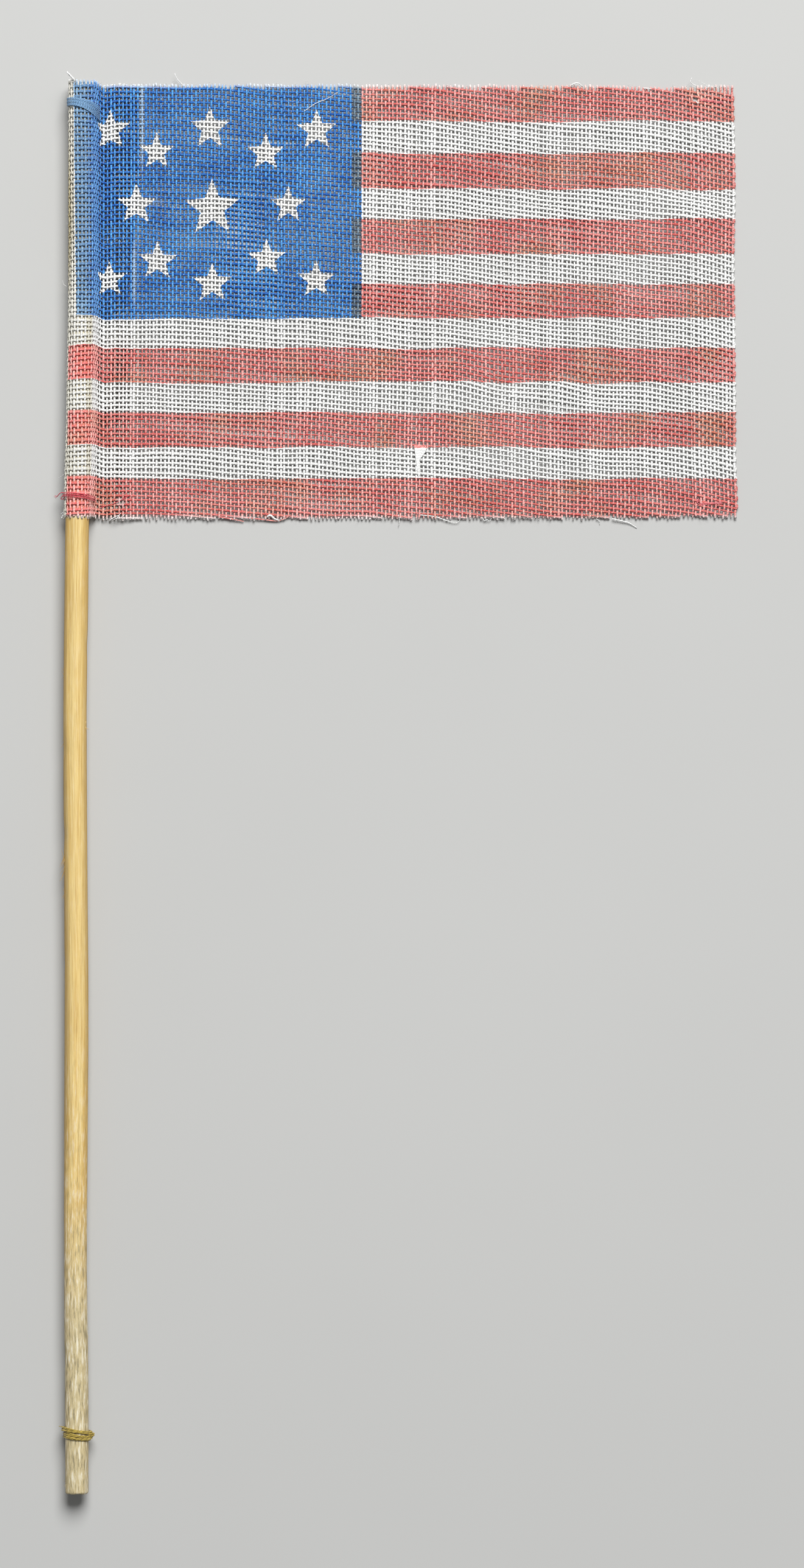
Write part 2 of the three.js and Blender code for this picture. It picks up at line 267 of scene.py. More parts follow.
@dataclass
class ClothSurface:
    """The cloth's middle surface: flap under the stick, sleeve round it, and the field lying flat."""

    axis: StickAxis
    radius: float = 1.965  # of the sleeve, to the middle of the cloth
    rest: float = 0.42  # the starched cloth's middle over the surface, which it touches only here and there
    layers: float = 0.28  # between the middles of cloth and flap
    tie_reach: float = 2.6  # how far along the stick a tie draws the cloth's underside up
    level_from: float = 3.25  # where the sleeve's side has come down onto the flap, from the axis
    flat_from: float = 12.0  # from here on s is x
    step_s: float = 0.2
    step_t: float = 0.5
    s_range: tuple[float, float] = (-20.0, 100.0)
    t_range: tuple[float, float] = (-3.0, 68.0)
    grid: Array = field(init=False)
    normals: Array = field(init=False)
    flap_starts: Array = field(init=False)

    def __post_init__(self) -> None:
        """Lay the surface out on a grid of s and t."""
        s_stops = np.arange(*self.s_range, self.step_s)
        t_stops = np.arange(*self.t_range, self.step_t)
        ripple = Wander(5, 8.0, 10.0, 0.09)
        rows, starts = [], []
        for t in t_stops:
            s, x, z = self._section(float(t))
            starts.append((t, s[0]))
            past = np.maximum(s[0] - s_stops, 0)
            row_x = np.interp(s_stops, s, x) + past + np.maximum(s_stops - s[-1], 0)
            waves = np.clip(ripple.at(s_stops, t), -0.22, 0.3) * smooth((s_stops - 9) / 6)
            row_z = np.interp(s_stops, s, z) + waves
            share = t / HOIST
            row_y = along(SHIFT_TOP, row_x) * (1 - share) + along(SHIFT_BOTTOM, row_x) * share - t
            rows.append(np.stack([row_x, row_y, row_z], 1))
        self.grid = np.array(rows)
        self.flap_starts = np.array(starts)
        down, across = np.gradient(self.grid, axis=(0, 1))
        self.normals = unit(np.cross(down, across))

    def _section(self, t: float) -> tuple[Array, Array, Array]:
        """Draw the cloth's middle line across the stick at one height.

        Args:
            t: the height, down from the top edge.

        Returns:
            s, x and z of points from the flap's raw edge, under and over the stick, to the fly.
        """
        centre_x, centre_z = self.axis.at(-t)
        flap_edge = float(along(EDGE_FLAP, np.clip(t, 0, HOIST)))
        tied = max(math.exp(-((t - place) / self.tie_reach) ** 2) for place in (BLUE_TIE_T, RED_TIE_T))
        slack = (centre_z - self.rest) * (1 - tied) + (self.radius + 0.02) * tied

        flap_x = np.linspace(flap_edge, centre_x, 60)
        flap_z = self.rest + (centre_z - slack - self.rest) * smooth(1 - (flap_x - centre_x) / 3.5)
        lower = np.radians(np.linspace(270, 180, 30))[1:]
        upper = np.radians(np.linspace(180, 10, 56))[1:]
        sleeve_x = centre_x + self.radius * np.cos(np.concatenate([lower, upper]))
        sleeve_z = centre_z + np.concatenate([slack * np.sin(lower), self.radius * np.sin(upper)])

        leave = np.array([sleeve_x[-1], sleeve_z[-1]])
        heading = np.array([math.sin(upper[-1]), -math.cos(upper[-1])])
        land = np.array([centre_x + self.level_from, self.rest + self.layers])
        controls = [leave, leave + 1.6 * heading, land - [0.8, 0.0], land]
        u = np.linspace(0, 1, 30)[1:, None]
        weights = [(1 - u) ** 3, 3 * u * (1 - u) ** 2, 3 * u**2 * (1 - u), u**3]
        side = sum(w * c for w, c in zip(weights, controls))

        level_x = np.linspace(land[0], self.flat_from, 60)[1:]
        level_z = self.rest + self.layers * (1 - smooth((level_x - flap_edge - 0.1) / 1.5))
        x = np.concatenate([flap_x, sleeve_x, side[:, 0], level_x])
        z = np.concatenate([flap_z, sleeve_z, side[:, 1], level_z])
        run = np.concatenate([[0], np.cumsum(np.hypot(np.diff(x), np.diff(z)))])
        s = self.flat_from - run[-1] + run

        field_x = np.linspace(self.flat_from, 99, 400)[1:]
        field_z = self.rest + self._ridges(field_x, t)
        return np.concatenate([s, field_x]), np.concatenate([x, field_x]), np.concatenate([z, field_z])

    @staticmethod
    def _ridges(x: Array, t: float) -> Array:
        """How far the cloth's low ridges lift it at places x of one height t.

        Args:
            x: the places.
            t: the height, down from the top edge.

        Returns:
            The lift at each place.
        """
        lift = np.zeros_like(x)
        for centre, lean, half, height, middle, reach in RIDGES:
            across = np.clip(np.abs(x - centre - lean * (t - middle)) / half, 0, 1)
            down = min(abs(t - middle) / reach, 1)
            lift += height * np.cos(across * np.pi / 2) ** 2 * math.cos(down * np.pi / 2) ** 2
        return lift

    def flap_start(self, t: Any) -> Array:
        """s of the flap's raw edge at heights t."""
        return np.interp(t, *self.flap_starts.T)

    def at(self, s: Any, t: Any, lift: Any = 0.0) -> tuple[Array, Array]:
        """Find points on the cloth.

        Args:
            s: places along the level threads.
            t: places along the upright threads, of a like shape.
            lift: height over the middle surface, towards the printed side.

        Returns:
            The points and the surface's normals there.
        """
        s, t, lift = np.broadcast_arrays(np.asarray(s, float), np.asarray(t, float), np.asarray(lift, float))
        u = np.clip((s - self.s_range[0]) / self.step_s, 0, self.grid.shape[1] - 1.001)
        v = np.clip((t - self.t_range[0]) / self.step_t, 0, self.grid.shape[0] - 1.001)
        i, j = u.astype(int), v.astype(int)
        a, b = (u - i)[..., None], (v - j)[..., None]

        def blend(values: Array) -> Array:
            near = values[j, i] * (1 - a) + values[j, i + 1] * a
            far = values[j + 1, i] * (1 - a) + values[j + 1, i + 1] * a
            return near * (1 - b) + far * b

        normal = unit(blend(self.normals))
        return blend(self.grid) + normal * lift[..., None], normal


# --- meshes of strands


@dataclass
class Strand:
    """One thread's tube: its middle line, which way its printed side faces, and its section."""

    path: Array
    up: Array
    half_width: Array
    half_height: Array
    on_cloth: Array  # for each point: s, t, how upright the thread is, and its crown
    lot: float  # from 0 to 1, its own shade

    def length(self) -> float:
        """Length of its middle line."""
        return float(np.linalg.norm(np.diff(self.path, axis=0), axis=1).sum())


@dataclass
class StrandMesh:
    """Many strands joined into one mesh, each unrolled onto its own strip of the bake's map."""

    name: str
    sides: int = 5
    strands: list[Strand] = field(default_factory=list)

    def add(self, path: Array, up: Array, half_width: Any, half_height: Any,
            on_cloth: Array | None = None, lot: float = 0.5) -> None:
        """Add one strand.

        Args:
            path: its middle line, in flag space.
            up: which way its printed side faces, one vector or one a point.
            half_width: half its width across the cloth, one number or one a point.
            half_height: half its height, likewise.
            on_cloth: for each point, s, t, uprightness and crown, which is 1 where it lies over
                another thread and 0 under one, if the strand belongs to the cloth.
            lot: from 0 to 1, its own shade.
        """
        count = len(path)
        if on_cloth is None:
            on_cloth = np.zeros((count, 4))
        self.strands.append(Strand(
            np.asarray(path, float), np.broadcast_to(up, (count, 3)), np.broadcast_to(half_width, count),
            np.broadcast_to(half_height, count), np.asarray(on_cloth, float), lot,
        ))

    def _strips(self) -> tuple[list[tuple[float, int]], float, int]:
        """Give each strand a strip of the map, on shelves filled from the longest strand down.

        Returns:
            Each strand's start along its shelf and its shelf, the shelves' length and how many there are.
        """
        room = 0.8  # millimetres kept after each strand for its two ends
        lengths = np.array([strand.length() + room for strand in self.strands])
        width = max(float(lengths.max()), math.sqrt(float(lengths.sum()) * 0.75))
        shelves: list[float] = []
        places: list[tuple[float, int]] = [(0.0, 0)] * len(lengths)
        first_open = 0
        for k in np.argsort(-lengths):
            shelf = first_open
            while shelf < len(shelves) and shelves[shelf] + lengths[k] > width + 1e-6:
                shelf += 1
            if shelf == len(shelves):
                shelves.append(0.0)
            places[k] = (shelves[shelf], shelf)
            shelves[shelf] += float(lengths[k])
            while first_open < len(shelves) and shelves[first_open] + lengths.min() > width:
                first_open += 1
        return places, width, len(shelves)

    def build(self, layout: Layout, material: bpy.types.Material) -> bpy.types.Object:
        """Make the mesh object.

        Args:
            layout: flag space's place in the frame.
            material: its finish.

        Returns:
            The new object, linked to the scene.
        """
        n = self.sides
        turn = 2 * np.pi * (np.arange(n) + 0.25) / n
        ring = np.stack([np.cos(turn), np.sin(turn)], 1)
        places, width, shelves = self._strips()
        points, fibre, cloth, quads, caps, quad_uv, cap_uv = [], [], [], [], [], [], []
        base = 0
        for strand, (start, shelf) in zip(self.strands, places):
            m = len(strand.path)
            side, lift = sides_of(strand.path, strand.up)
            offsets = (side[:, None] * (ring[:, :1] * strand.half_width[:, None, None])
                       + lift[:, None] * (ring[:, 1:] * strand.half_height[:, None, None]))
            points.append((strand.path[:, None] + offsets).reshape(-1, 3))
            run = travelled(strand.path)
            fibre.append(np.column_stack([np.tile(ring, (m, 1)), np.repeat(run, n)]))
            # The print goes by where each point of the tube lies, so a stripe's edge crosses a thread.
            tube = np.repeat(strand.on_cloth, n, axis=0)
            upright = strand.on_cloth[:, 2:3]
            shift = (ring[:, 0] * strand.half_width[:, None])
            tube[:, 0] -= (shift * upright).ravel()
            tube[:, 1] += (shift * (1 - upright)).ravel()
            cloth.append(np.column_stack([tube, np.full(m * n, strand.lot)]))

            i, k = np.arange(m - 1)[:, None] * n, np.arange(n)[None]
            after = (k + 1) % n
            quads.append(base + np.stack([i + k, i + n + k, i + n + after, i + after], -1).reshape(-1, 4))
            caps.append(base + np.arange(n))
            caps.append(base + (m - 1) * n + np.arange(n)[::-1])
            base += m * n

            u = (start + run) / width
            low = (shelf + 0.04 + 0.92 * np.arange(n + 1) / n) / shelves
            u0, u1 = (np.broadcast_to(v[:, None], (m - 1, n)) for v in (u[:-1], u[1:]))
            v0, v1 = (np.broadcast_to(v[None], (m - 1, n)) for v in (low[:-1], low[1:]))
            quad_uv.append(np.stack([u0, v0, u1, v0, u1, v1, u0, v1], -1).reshape(-1, 2))
            for end in (0.2, 0.55):
                centre = np.array([(start + run[-1] + end) / width, (shelf + 0.5) / shelves])
                cap_uv.append(centre + ring * [0.14 / width, 0.4 / shelves])

        mesh = bpy.data.meshes.new(self.name)
        places_m = layout.to_metres(np.vstack(points))
        quads_all, caps_all = np.vstack(quads), np.array(caps)
        fill_mesh(mesh, places_m, quads_all, caps_all)
        write_map(mesh, np.vstack(quad_uv + cap_uv))
        write_attribute(mesh, "fibre", np.vstack(fibre))
        on_cloth = np.vstack(cloth)
        write_attribute(mesh, "on_cloth", on_cloth[:, :3])
        write_attribute(mesh, "yarn", np.column_stack([on_cloth[:, 4], on_cloth[:, 3], on_cloth[:, 3] * 0]))
        mesh.materials.append(material)
        return new_object(self.name, mesh)


def fill_mesh(mesh: bpy.types.Mesh, points: Array, quads: Array, caps: Array) -> None:
    """Give an empty mesh its vertices and smooth faces.

    Args:
        mesh: the mesh.
        points: its vertices.
        quads: four vertices for each side face.
        caps: the vertices of each end face, all with one count, or an empty array.
    """
    corners = np.concatenate([quads.ravel(), caps.ravel()]).astype(np.int32)
    sizes = np.concatenate([np.full(len(quads), 4), np.full(len(caps), caps.shape[-1])]).astype(np.int32)
    mesh.vertices.add(len(points))
    mesh.vertices.foreach_set("co", points.astype(np.float32).ravel())
    mesh.loops.add(len(corners))
    mesh.loops.foreach_set("vertex_index", corners)
    mesh.polygons.add(len(sizes))
    mesh.polygons.foreach_set("loop_start", np.concatenate([[0], np.cumsum(sizes)[:-1]]).astype(np.int32))
    mesh.polygons.foreach_set("use_smooth", np.ones(len(sizes), bool))
    mesh.update(calc_edges=True)
    mesh.validate()


def write_map(mesh: bpy.types.Mesh, corners: Array) -> None:
    """Store the unrolled map that a bake uses, one place a face corner."""
    layer = mesh.uv_layers.new(name="OFBake", do_init=False)
    layer.uv.foreach_set("vector", corners.astype(np.float32).ravel())


def write_attribute(mesh: bpy.types.Mesh, name: str, values: Array) -> None:
    """Store a named vector for each vertex, for the materials to read."""
    layer = mesh.attributes.new(name, "FLOAT_VECTOR", "POINT")
    layer.data.foreach_set("vector", values.astype(np.float32).ravel())


def new_object(name: str, data: Any) -> bpy.types.Object:
    """Link a new object to the scene.

    Args:
        name: its name.
        data: its mesh, lamp or camera.

    Returns:
        The object.
    """
    made = bpy.data.objects.new(name, data)
    bpy.context.scene.collection.objects.link(made)
    return made


def hand_over(made: bpy.types.Object, node: str, slot: str) -> None:
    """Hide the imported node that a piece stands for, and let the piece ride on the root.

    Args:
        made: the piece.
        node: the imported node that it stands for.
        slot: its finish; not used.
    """
    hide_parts(node)
    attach(made, ROOT)


# --- finishes


def add_node(tree: bpy.types.NodeTree, kind: str, *given: Any, out: str = "", **settings: Any) -> Any:
    """Add a node, set it up and link what feeds it.

    Args:
        tree: the tree that takes the node.
        kind: the node's type, with no ShaderNode before it, and after a dot its operation or data type.
        given: values to set or outputs to link, for its inputs in their order, or one mapping by name.
        out: the name of the output to return, if that is not the first one in use.
        settings: the node's other properties.

    Returns:
        The output, or None for a node that ends a tree.
    """
    kind, _, mode = kind.partition(".")
    node = tree.nodes.new(kind if kind.startswith("NodeGroup") else "ShaderNode" + kind)
    if mode:
        settings["data_type" if kind == "Mix" else "operation"] = mode
    for name, value in settings.items():
        setattr(node, name, value)
    feeds = zip((socket for socket in node.inputs if socket.enabled), given)
    if given and isinstance(given[0], dict):
        feeds = ((node.inputs[name], value) for name, value in given[0].items())
    for socket, value in feeds:
        if isinstance(value, bpy.types.NodeSocket):
            tree.links.new(value, socket)
        else:
            socket.default_value = value
    return node.outputs[out] if out else next((socket for socket in node.outputs if socket.enabled), None)


def new_material(name: str) -> tuple[bpy.types.Material, Callable[..., Any]]:
    """Make a material with an empty node tree.

    Args:
        name: the material's name.

    Returns:
        The material, and the function that adds a node to it.
    """
    material = bpy.data.materials.new(name)
    material.use_nodes = True
    material.node_tree.nodes.clear()
    return material, partial(add_node, material.node_tree)


@dataclass(frozen=True)
class Star:
    """One printed star: its middle on the cloth and the reach of its points."""

    s: float
    t: float
    reach: float


@dataclass(frozen=True)
class Print:
    """The flag's printed pattern: stripes, a blue canton and thirteen stars, in millimetres."""

    repeat: float = 9.81  # a red and a white stripe together
    red: float = 5.2
    first: float = 0.18  # where the first red stripe starts
    last: float = 62.0  # past here the last red stripe runs on to the edge
    red_from: float = -5.25  # the red's start on the sleeve
    canton_from: float = -4.03
    canton_lean: float = 0.0134  # its edge on the sleeve leans in towards the fly lower down
    canton_to: float = 41.6
    overprint: float = 1.45  # the canton's blue overlaps the red stripes by this much
    canton_height: float = 34.98
    drift: float = 0.55  # the stripes wander from an even repeat by up to this
    drift_length: float = 78.0
    stars: tuple[Star, ...] = (
        Star(4.05, 6.91, 3.09), Star(18.95, 6.67, 3.06), Star(34.9, 7.0, 3.12), Star(11.0, 10.13, 2.79),
        Star(27.28, 10.13, 2.91), Star(7.95, 18.04, 3.2), Star(19.29, 18.54, 4.32),
        Star(30.65, 18.14, 2.77), Star(11.13, 26.36, 3.07), Star(27.4, 26.03, 2.99),
        Star(3.9, 29.18, 2.82), Star(19.29, 29.75, 3.14), Star(34.8, 29.23, 2.95),
    )
    notch: float = 0.43  # a star's inner corners, as a share of its reach

    def wander(self, t: Array) -> Array:
        """How far below an even repeat the stripes lie at places t."""
        return self.drift * np.sin(2 * np.pi * t / self.drift_length) * (1 - 0.011 * t)

    def inked(self, s: Array, t: Array) -> Array:
        """Tell which places carry ink, taking each star as a disc.

        Args:
            s: places along the level threads.
            t: places along the upright ones.

        Returns:
            True where ink lies.
        """
        even = t - self.wander(t)
        canton = (s > self.canton_from) & (s < self.canton_to) & (even < self.canton_height)
        for star in self.stars:
            canton &= np.hypot(s - star.s, t - star.t) > 0.6 * star.reach
        stripe = ((even - self.first) % self.repeat < self.red) | (even > self.last)
        clear = (s > self.canton_to) | ((even > self.canton_height) & (s > self.red_from))
        return canton | (stripe & clear)


@dataclass(frozen=True)
class PrintedScrim:
    """Cotton scrim, plain woven with open holes, starched and roller printed.

    The threads are matt and a little hairy. The ink sits in them: it is deep in the furrows and thin
    on the tops, and the upright threads, which stand up more, took less of it. Their tops and crowns
    are also painted lighter and their flanks darker, as painted light and painted shade.
    """

    design: Print = Print()
    # Each tone as it is in the furrows and on the tops: each pair also carries painted shade on the
    # threads' flanks and painted light on their tops.
    white: tuple[str, str] = ("#D2D2CF", "#F1F1F0")
    ivory: tuple[str, str] = ("#AFA684", "#E0DCC8")
    red: tuple[str, str] = ("#BB4B47", "#F5BBB4")
    lit_coral: tuple[str, str] = ("#D4524C", "#FFC4BC")  # the red over the stick, painted lighter as painted light on the raised sleeve
    blue: tuple[str, str] = ("#00479A", "#5DADEA")
    dark: tuple[str, str] = ("#1C3150", "#8BA3B2")  # blue over red
    stain: tuple[str, str] = ("#857338", "#D2C183")
    dull: tuple[str, str] = ("#85827A", "#CBC8BE")  # painted shade on the flap, which lies under the stick and the cloth
    slate: tuple[str, str] = ("#6A8A8F", "#BFC9C0")  # blue ink that has greyed over the stick
    chalk: tuple[str, str] = ("#A9CBDC", "#EAF2F2")  # where blue ink barely took
    bleed: float = 0.09  # how far the ink crept along the fibres, in millimetres
    twist: float = 0.4  # one turn of the yarn; finer in truth, drawn as coarse as shows
    fleck: float = 0.2  # size of the flecks that the roller missed
    outer_side: float = -6.2  # s of the sleeve's outer side
    shoulder: float = -1.5  # s where the cloth turns down off the stick, yellowed by handling
    # Soft spots, as s and t of the middle, the reach in s and in t, and the strength: the damp stain on
    # the sleeve, and the places that took little ink.
    damp: tuple[float, ...] = (-6.5, 20.0, 2.6, 15.0, 0.95)
    pale_spots: tuple[tuple[float, ...], ...] = (
        (8.75, 5.0, 0.45, 9.0, 0.5), (7.6, 28.0, 0.45, 6.0, 0.42), (5.5, 62.6, 0.8, 0.7, 0.55),
        (10.4, 17.0, 2.2, 0.9, 0.16),
    )

    def star_group(self) -> bpy.types.NodeTree:
        """Make the node group that draws one five-pointed star.

        Returns:
            A group from a place, a middle and a reach to 1 inside the star and 0 outside.
        """
        group = bpy.data.node_groups.new("five_pointed_star", "ShaderNodeTree")
        for name, kind in (("Place", "Vector"), ("Middle", "Vector"), ("Reach", "Float")):
            group.interface.new_socket(name, in_out="INPUT", socket_type="NodeSocket" + kind)
        group.interface.new_socket("Star", in_out="OUTPUT", socket_type="NodeSocketFloat")
        add = partial(add_node, group)
        place, middle, reach = (add("NodeGroupInput", out=name) for name in ("Place", "Middle", "Reach"))
        away = add("VectorMath.SUBTRACT", place, middle)
        x, y = (add("SeparateXYZ", away, out=axis) for axis in "XY")
        far = add("VectorMath.LENGTH", add("CombineXYZ", x, y))
        half_fifth = math.pi / 5
        angle = add("Math.ARCTAN2", x, add("Math.MULTIPLY", y, -1.0))
        folded = add("Math.PINGPONG", angle, half_fifth)
        # One edge runs from the point (reach, 0) to the notch: its outward normal, for a reach of 1.
        notch_x, notch_y = self.design.notch * math.cos(half_fifth), self.design.notch * math.sin(half_fifth)
        edge = math.hypot(1 - notch_x, notch_y)
        normal_x, normal_y = notch_y / edge, (1 - notch_x) / edge
        across = add("Math.MULTIPLY", add("Math.COSINE", folded), normal_x)
        side = add("Math.MULTIPLY_ADD", add("Math.SINE", folded), normal_y, across)
        limit = add("Math.MULTIPLY", reach, normal_x)
        add("NodeGroupOutput", {"Star": add("Math.LESS_THAN", add("Math.MULTIPLY", side, far), limit)})
        return group

    def ink_masks(self, add: Callable[..., Any], place: Any) -> tuple[Any, Any, Any]:
        """Draw where the inks lie.

        Args:
            add: adds a node to the material.
            place: output with s and t of the shaded point, its t freed of the stripes' wander.

        Returns:
            Outputs that are 1 in the red stripes, in the canton, and in the stars.
        """
        design = self.design
        s, t = (add("SeparateXYZ", place, out=axis) for axis in "XY")
        count = add("Math.DIVIDE", add("Math.SUBTRACT", t, design.first), design.repeat)
        stripe = add("Math.LESS_THAN", add("Math.FRACT", count), design.red / design.repeat)
        for beyond in (add("Math.GREATER_THAN", t, design.last), add("Math.LESS_THAN", t, design.first)):
            stripe = add("Math.MAXIMUM", stripe, beyond)
        below = add("Math.GREATER_THAN", t, design.canton_height)
        on_sleeve = add("Math.MULTIPLY", below, add("Math.GREATER_THAN", s, design.red_from))
        clear = add("Math.GREATER_THAN", s, design.canton_to - design.overprint)
        red = add("Math.MULTIPLY", stripe, add("Math.MAXIMUM", on_sleeve, clear))

        leaned = add("Math.SUBTRACT", s, add("Math.MULTIPLY", t, design.canton_lean))
        canton = add("Math.GREATER_THAN", leaned, design.canton_from)
        for value, limit in ((s, design.canton_to), (t, design.canton_height)):
            canton = add("Math.MULTIPLY", canton, add("Math.LESS_THAN", value, limit))

        group = self.star_group()
        stars = None
        for star in design.stars:
            t_even = star.t - float(design.wander(np.array(star.t)))
            drawn = add("Group", {"Place": place, "Middle": (star.s, t_even, 0.0), "Reach": star.reach},
                        node_tree=group)
            stars = drawn if stars is None else add("Math.MAXIMUM", stars, drawn)
        return red, canton, stars

    @staticmethod
    def spot(add: Callable[..., Any], place: Any, s: float, t: float, reach_s: float, reach_t: float,
             strength: float) -> Any:
        """Draw a soft spot.

        Args:
            add: adds a node to the material.
            place: output with s and t of the shaded point.
            s: the spot's middle.
            t: the same, down the cloth.
            reach_s: how far it reaches from there along s.
            reach_t: the same along t.
            strength: its value in the middle.

        Returns:
            Output that falls from the strength to 0 at the spot's edge.
        """
        away = add("VectorMath.SUBTRACT", place, (s, t, 0.0))
        away = add("VectorMath.MULTIPLY", away, (1 / reach_s, 1 / reach_t, 0.0))
        return add("MapRange", add("VectorMath.LENGTH", away), 0.5, 1.0, strength, 0.0)

    def material(self) -> bpy.types.Material:
        """Make the printed cotton's material.

        Returns:
            The material.
        """
        material, add = new_material("cotton_scrim_roller_printed")
        fibre, on_cloth, yarn = (
            add("Attribute", attribute_name=name, out="Vector") for name in ("fibre", "on_cloth", "yarn"))
        lot, crown = (add("SeparateXYZ", yarn, out=axis) for axis in "XY")
        cos_turn, sin_turn, run = (add("SeparateXYZ", fibre, out=axis) for axis in "XYZ")
        s, t, upright = (add("SeparateXYZ", on_cloth, out=axis) for axis in "XYZ")
        # Noise by the size of its grain in millimetres and its detail.
        speck, patch, aged, missed, hair = (
            add("TexNoise", on_cloth, 1 / size, detail)
            for size, detail in ((0.3, 3.0), (5.0, 2.0), (8.0, 3.0), (self.fleck, 2.0), (0.08, 2.0)))

        creep = add("TexNoise", on_cloth, 1 / 0.35, 2.0, out="Color")
        creep = add("VectorMath.SUBTRACT", creep, (0.5, 0.5, 0.5))
        blurred = add("VectorMath.ADD", on_cloth, add("VectorMath.SCALE", creep, 4 * self.bleed))
        red, canton, stars = self.ink_masks(add, blurred)

        # How bare of ink, and how bright, a spot is: the threads' crowns and tops are painted lighter than
        # their flanks, as painted light and painted shade, and the upright threads took less ink.
        bare = add("MapRange", sin_turn, -0.6, 1.0, -1.1, -0.7)
        for share, weight in ((upright, 0.4), (crown, 0.26), (speck, 1.05), (patch, 0.65), (lot, 0.38)):
            bare = add("Math.MULTIPLY_ADD", share, weight, bare)
        bare = add("Math.SUBTRACT", bare, 0.31, use_clamp=True)
        tones = {name: add("Mix.RGBA", bare, *(linear(tone) for tone in getattr(self, name))) for name in (
            "white", "ivory", "red", "lit_coral", "blue", "dark", "stain", "dull", "slate", "chalk")}

        # The sleeve's outer side is mixed towards ivory, handling has yellowed its shoulder, and damp has
        # stained the sleeve half way down the canton.
        yellowed, shoulder = (
            add("MapRange", add("Math.ABSOLUTE", add("Math.SUBTRACT", s, middle)), near, far, 0.55, 0.0)
            for middle, near, far in ((self.outer_side, 1.0, 4.2), (self.shoulder, 0.35, 0.9)))
        # Painted shade: the flap under the stick is mixed towards grey.
        under = add("MapRange", s, -7.5, -9.5, 0.0, 1.0)
        ground = tones["white"]
        for share, tone in ((yellowed, "ivory"), (shoulder, "ivory"), (under, "dull"),
                            (self.spot(add, blurred, *self.damp), "stain")):
            ground = add("Mix.RGBA", share, ground, tones[tone])
        # Over the stick the red is painted lighter and pinker, as painted light on the raised sleeve, and
        # age has turned it tan in soft patches.
        over_stick = add("MapRange", s, 2.2, 0.6, 0.0, 1.0)
        reds = add("Mix.RGBA", over_stick, tones["red"], tones["lit_coral"])
        reds = add("Mix.RGBA", add("MapRange", aged, 0.5, 0.7, 0.0, 0.28), reds, tones["stain"])
        # Over the stick the ink has rubbed off the most, and the little white mixed in there is also painted
        # light on the raised sleeve; the blue has greyed. Elsewhere there are places and flecks of the
        # yarn's nap that the roller missed, and the raw ends' fibres are paler.
        blue_only = add("Math.SUBTRACT", canton, stars, use_clamp=True)
        bared = add("Mix.RGBA", blue_only, tones["white"], tones["chalk"])
        greyed = add("Math.MULTIPLY", add("MapRange", s, -1.0, -2.2, 0.0, 0.42), canton)
        from_middle = add("Math.ABSOLUTE", add("Math.SUBTRACT", t, HOIST / 2))
        frayed = add("MapRange", from_middle, HOIST / 2 - 0.6, HOIST / 2, 0.0, 0.8)
        inked = ground
        for share, tone in (
            (red, reds), (canton, tones["blue"]), (add("Math.MULTIPLY", red, canton), tones["dark"]),
            (stars, ground), (add("Math.MULTIPLY", over_stick, 0.07), bared), (greyed, tones["slate"]),
            *((self.spot(add, blurred, *pale), bared) for pale in self.pale_spots),
            (add("MapRange", missed, 0.6, 0.74, 0.0, 0.6), bared), (frayed, tones["white"]),
        ):
            inked = add("Mix.RGBA", share, inked, tone)

        # The yarn's twist and loose hairs: a low ridge that winds round the thread.
        turns = add("Math.MULTIPLY", run, 2 * math.pi / self.twist)
        lean = add("Math.MULTIPLY", add("Math.SINE", turns), cos_turn)
        ridge = add("Math.MULTIPLY_ADD", add("Math.COSINE", turns), sin_turn, lean)
        relief = add("Math.MULTIPLY_ADD", ridge, 0.5, hair)
        normal = add("Bump", {"Height": relief, "Strength": 1.0, "Distance": 0.035 * MM})
        add("OutputMaterial", add("BsdfPrincipled", {
            "Base Color": inked, "Roughness": 0.88, "IOR": 1.53, "Specular IOR Level": 0.25,
            "Sheen Weight": 0.15, "Sheen Roughness": 0.5, "Normal": normal}))
        return material


@dataclass(frozen=True)
class SewingThread:
    """Two-ply cotton sewing thread, dyed and mercerised: matt in its furrows, a soft gloss on its plies."""

    name: str
    deep: str
    light: str
    hair: float = 0.06  # width of the fibres that show, in millimetres

    def material(self) -> bpy.types.Material:
        """Make the thread's material.

        Returns:
            The material.
        """
        material, add = new_material(f"{self.name}_mercerised_cotton")
        fibre, yarn = (add("Attribute", attribute_name=name, out="Vector") for name in ("fibre", "yarn"))
        long_hairs = add("VectorMath.MULTIPLY", fibre, (8.0, 8.0, 2.0))
        hairs = add("TexNoise", long_hairs, 0.5, 3.0)
        patchy = add("Math.MULTIPLY_ADD", add("SeparateXYZ", yarn), 0.5, hairs)
        share = add("MapRange", patchy, 0.35, 1.1, 0.0, 1.0)
        colour = add("Mix.RGBA", share, linear(self.deep), linear(self.light))
        normal = add("Bump", {"Height": hairs, "Strength": 0.5, "Distance": self.hair / 4 * MM})
        add("OutputMaterial", add("BsdfPrincipled", {
            "Base Color": colour, "Roughness": 0.6, "IOR": 1.53, "Specular IOR Level": 0.4,
            "Sheen Weight": 0.3, "Normal": normal}))
        return material


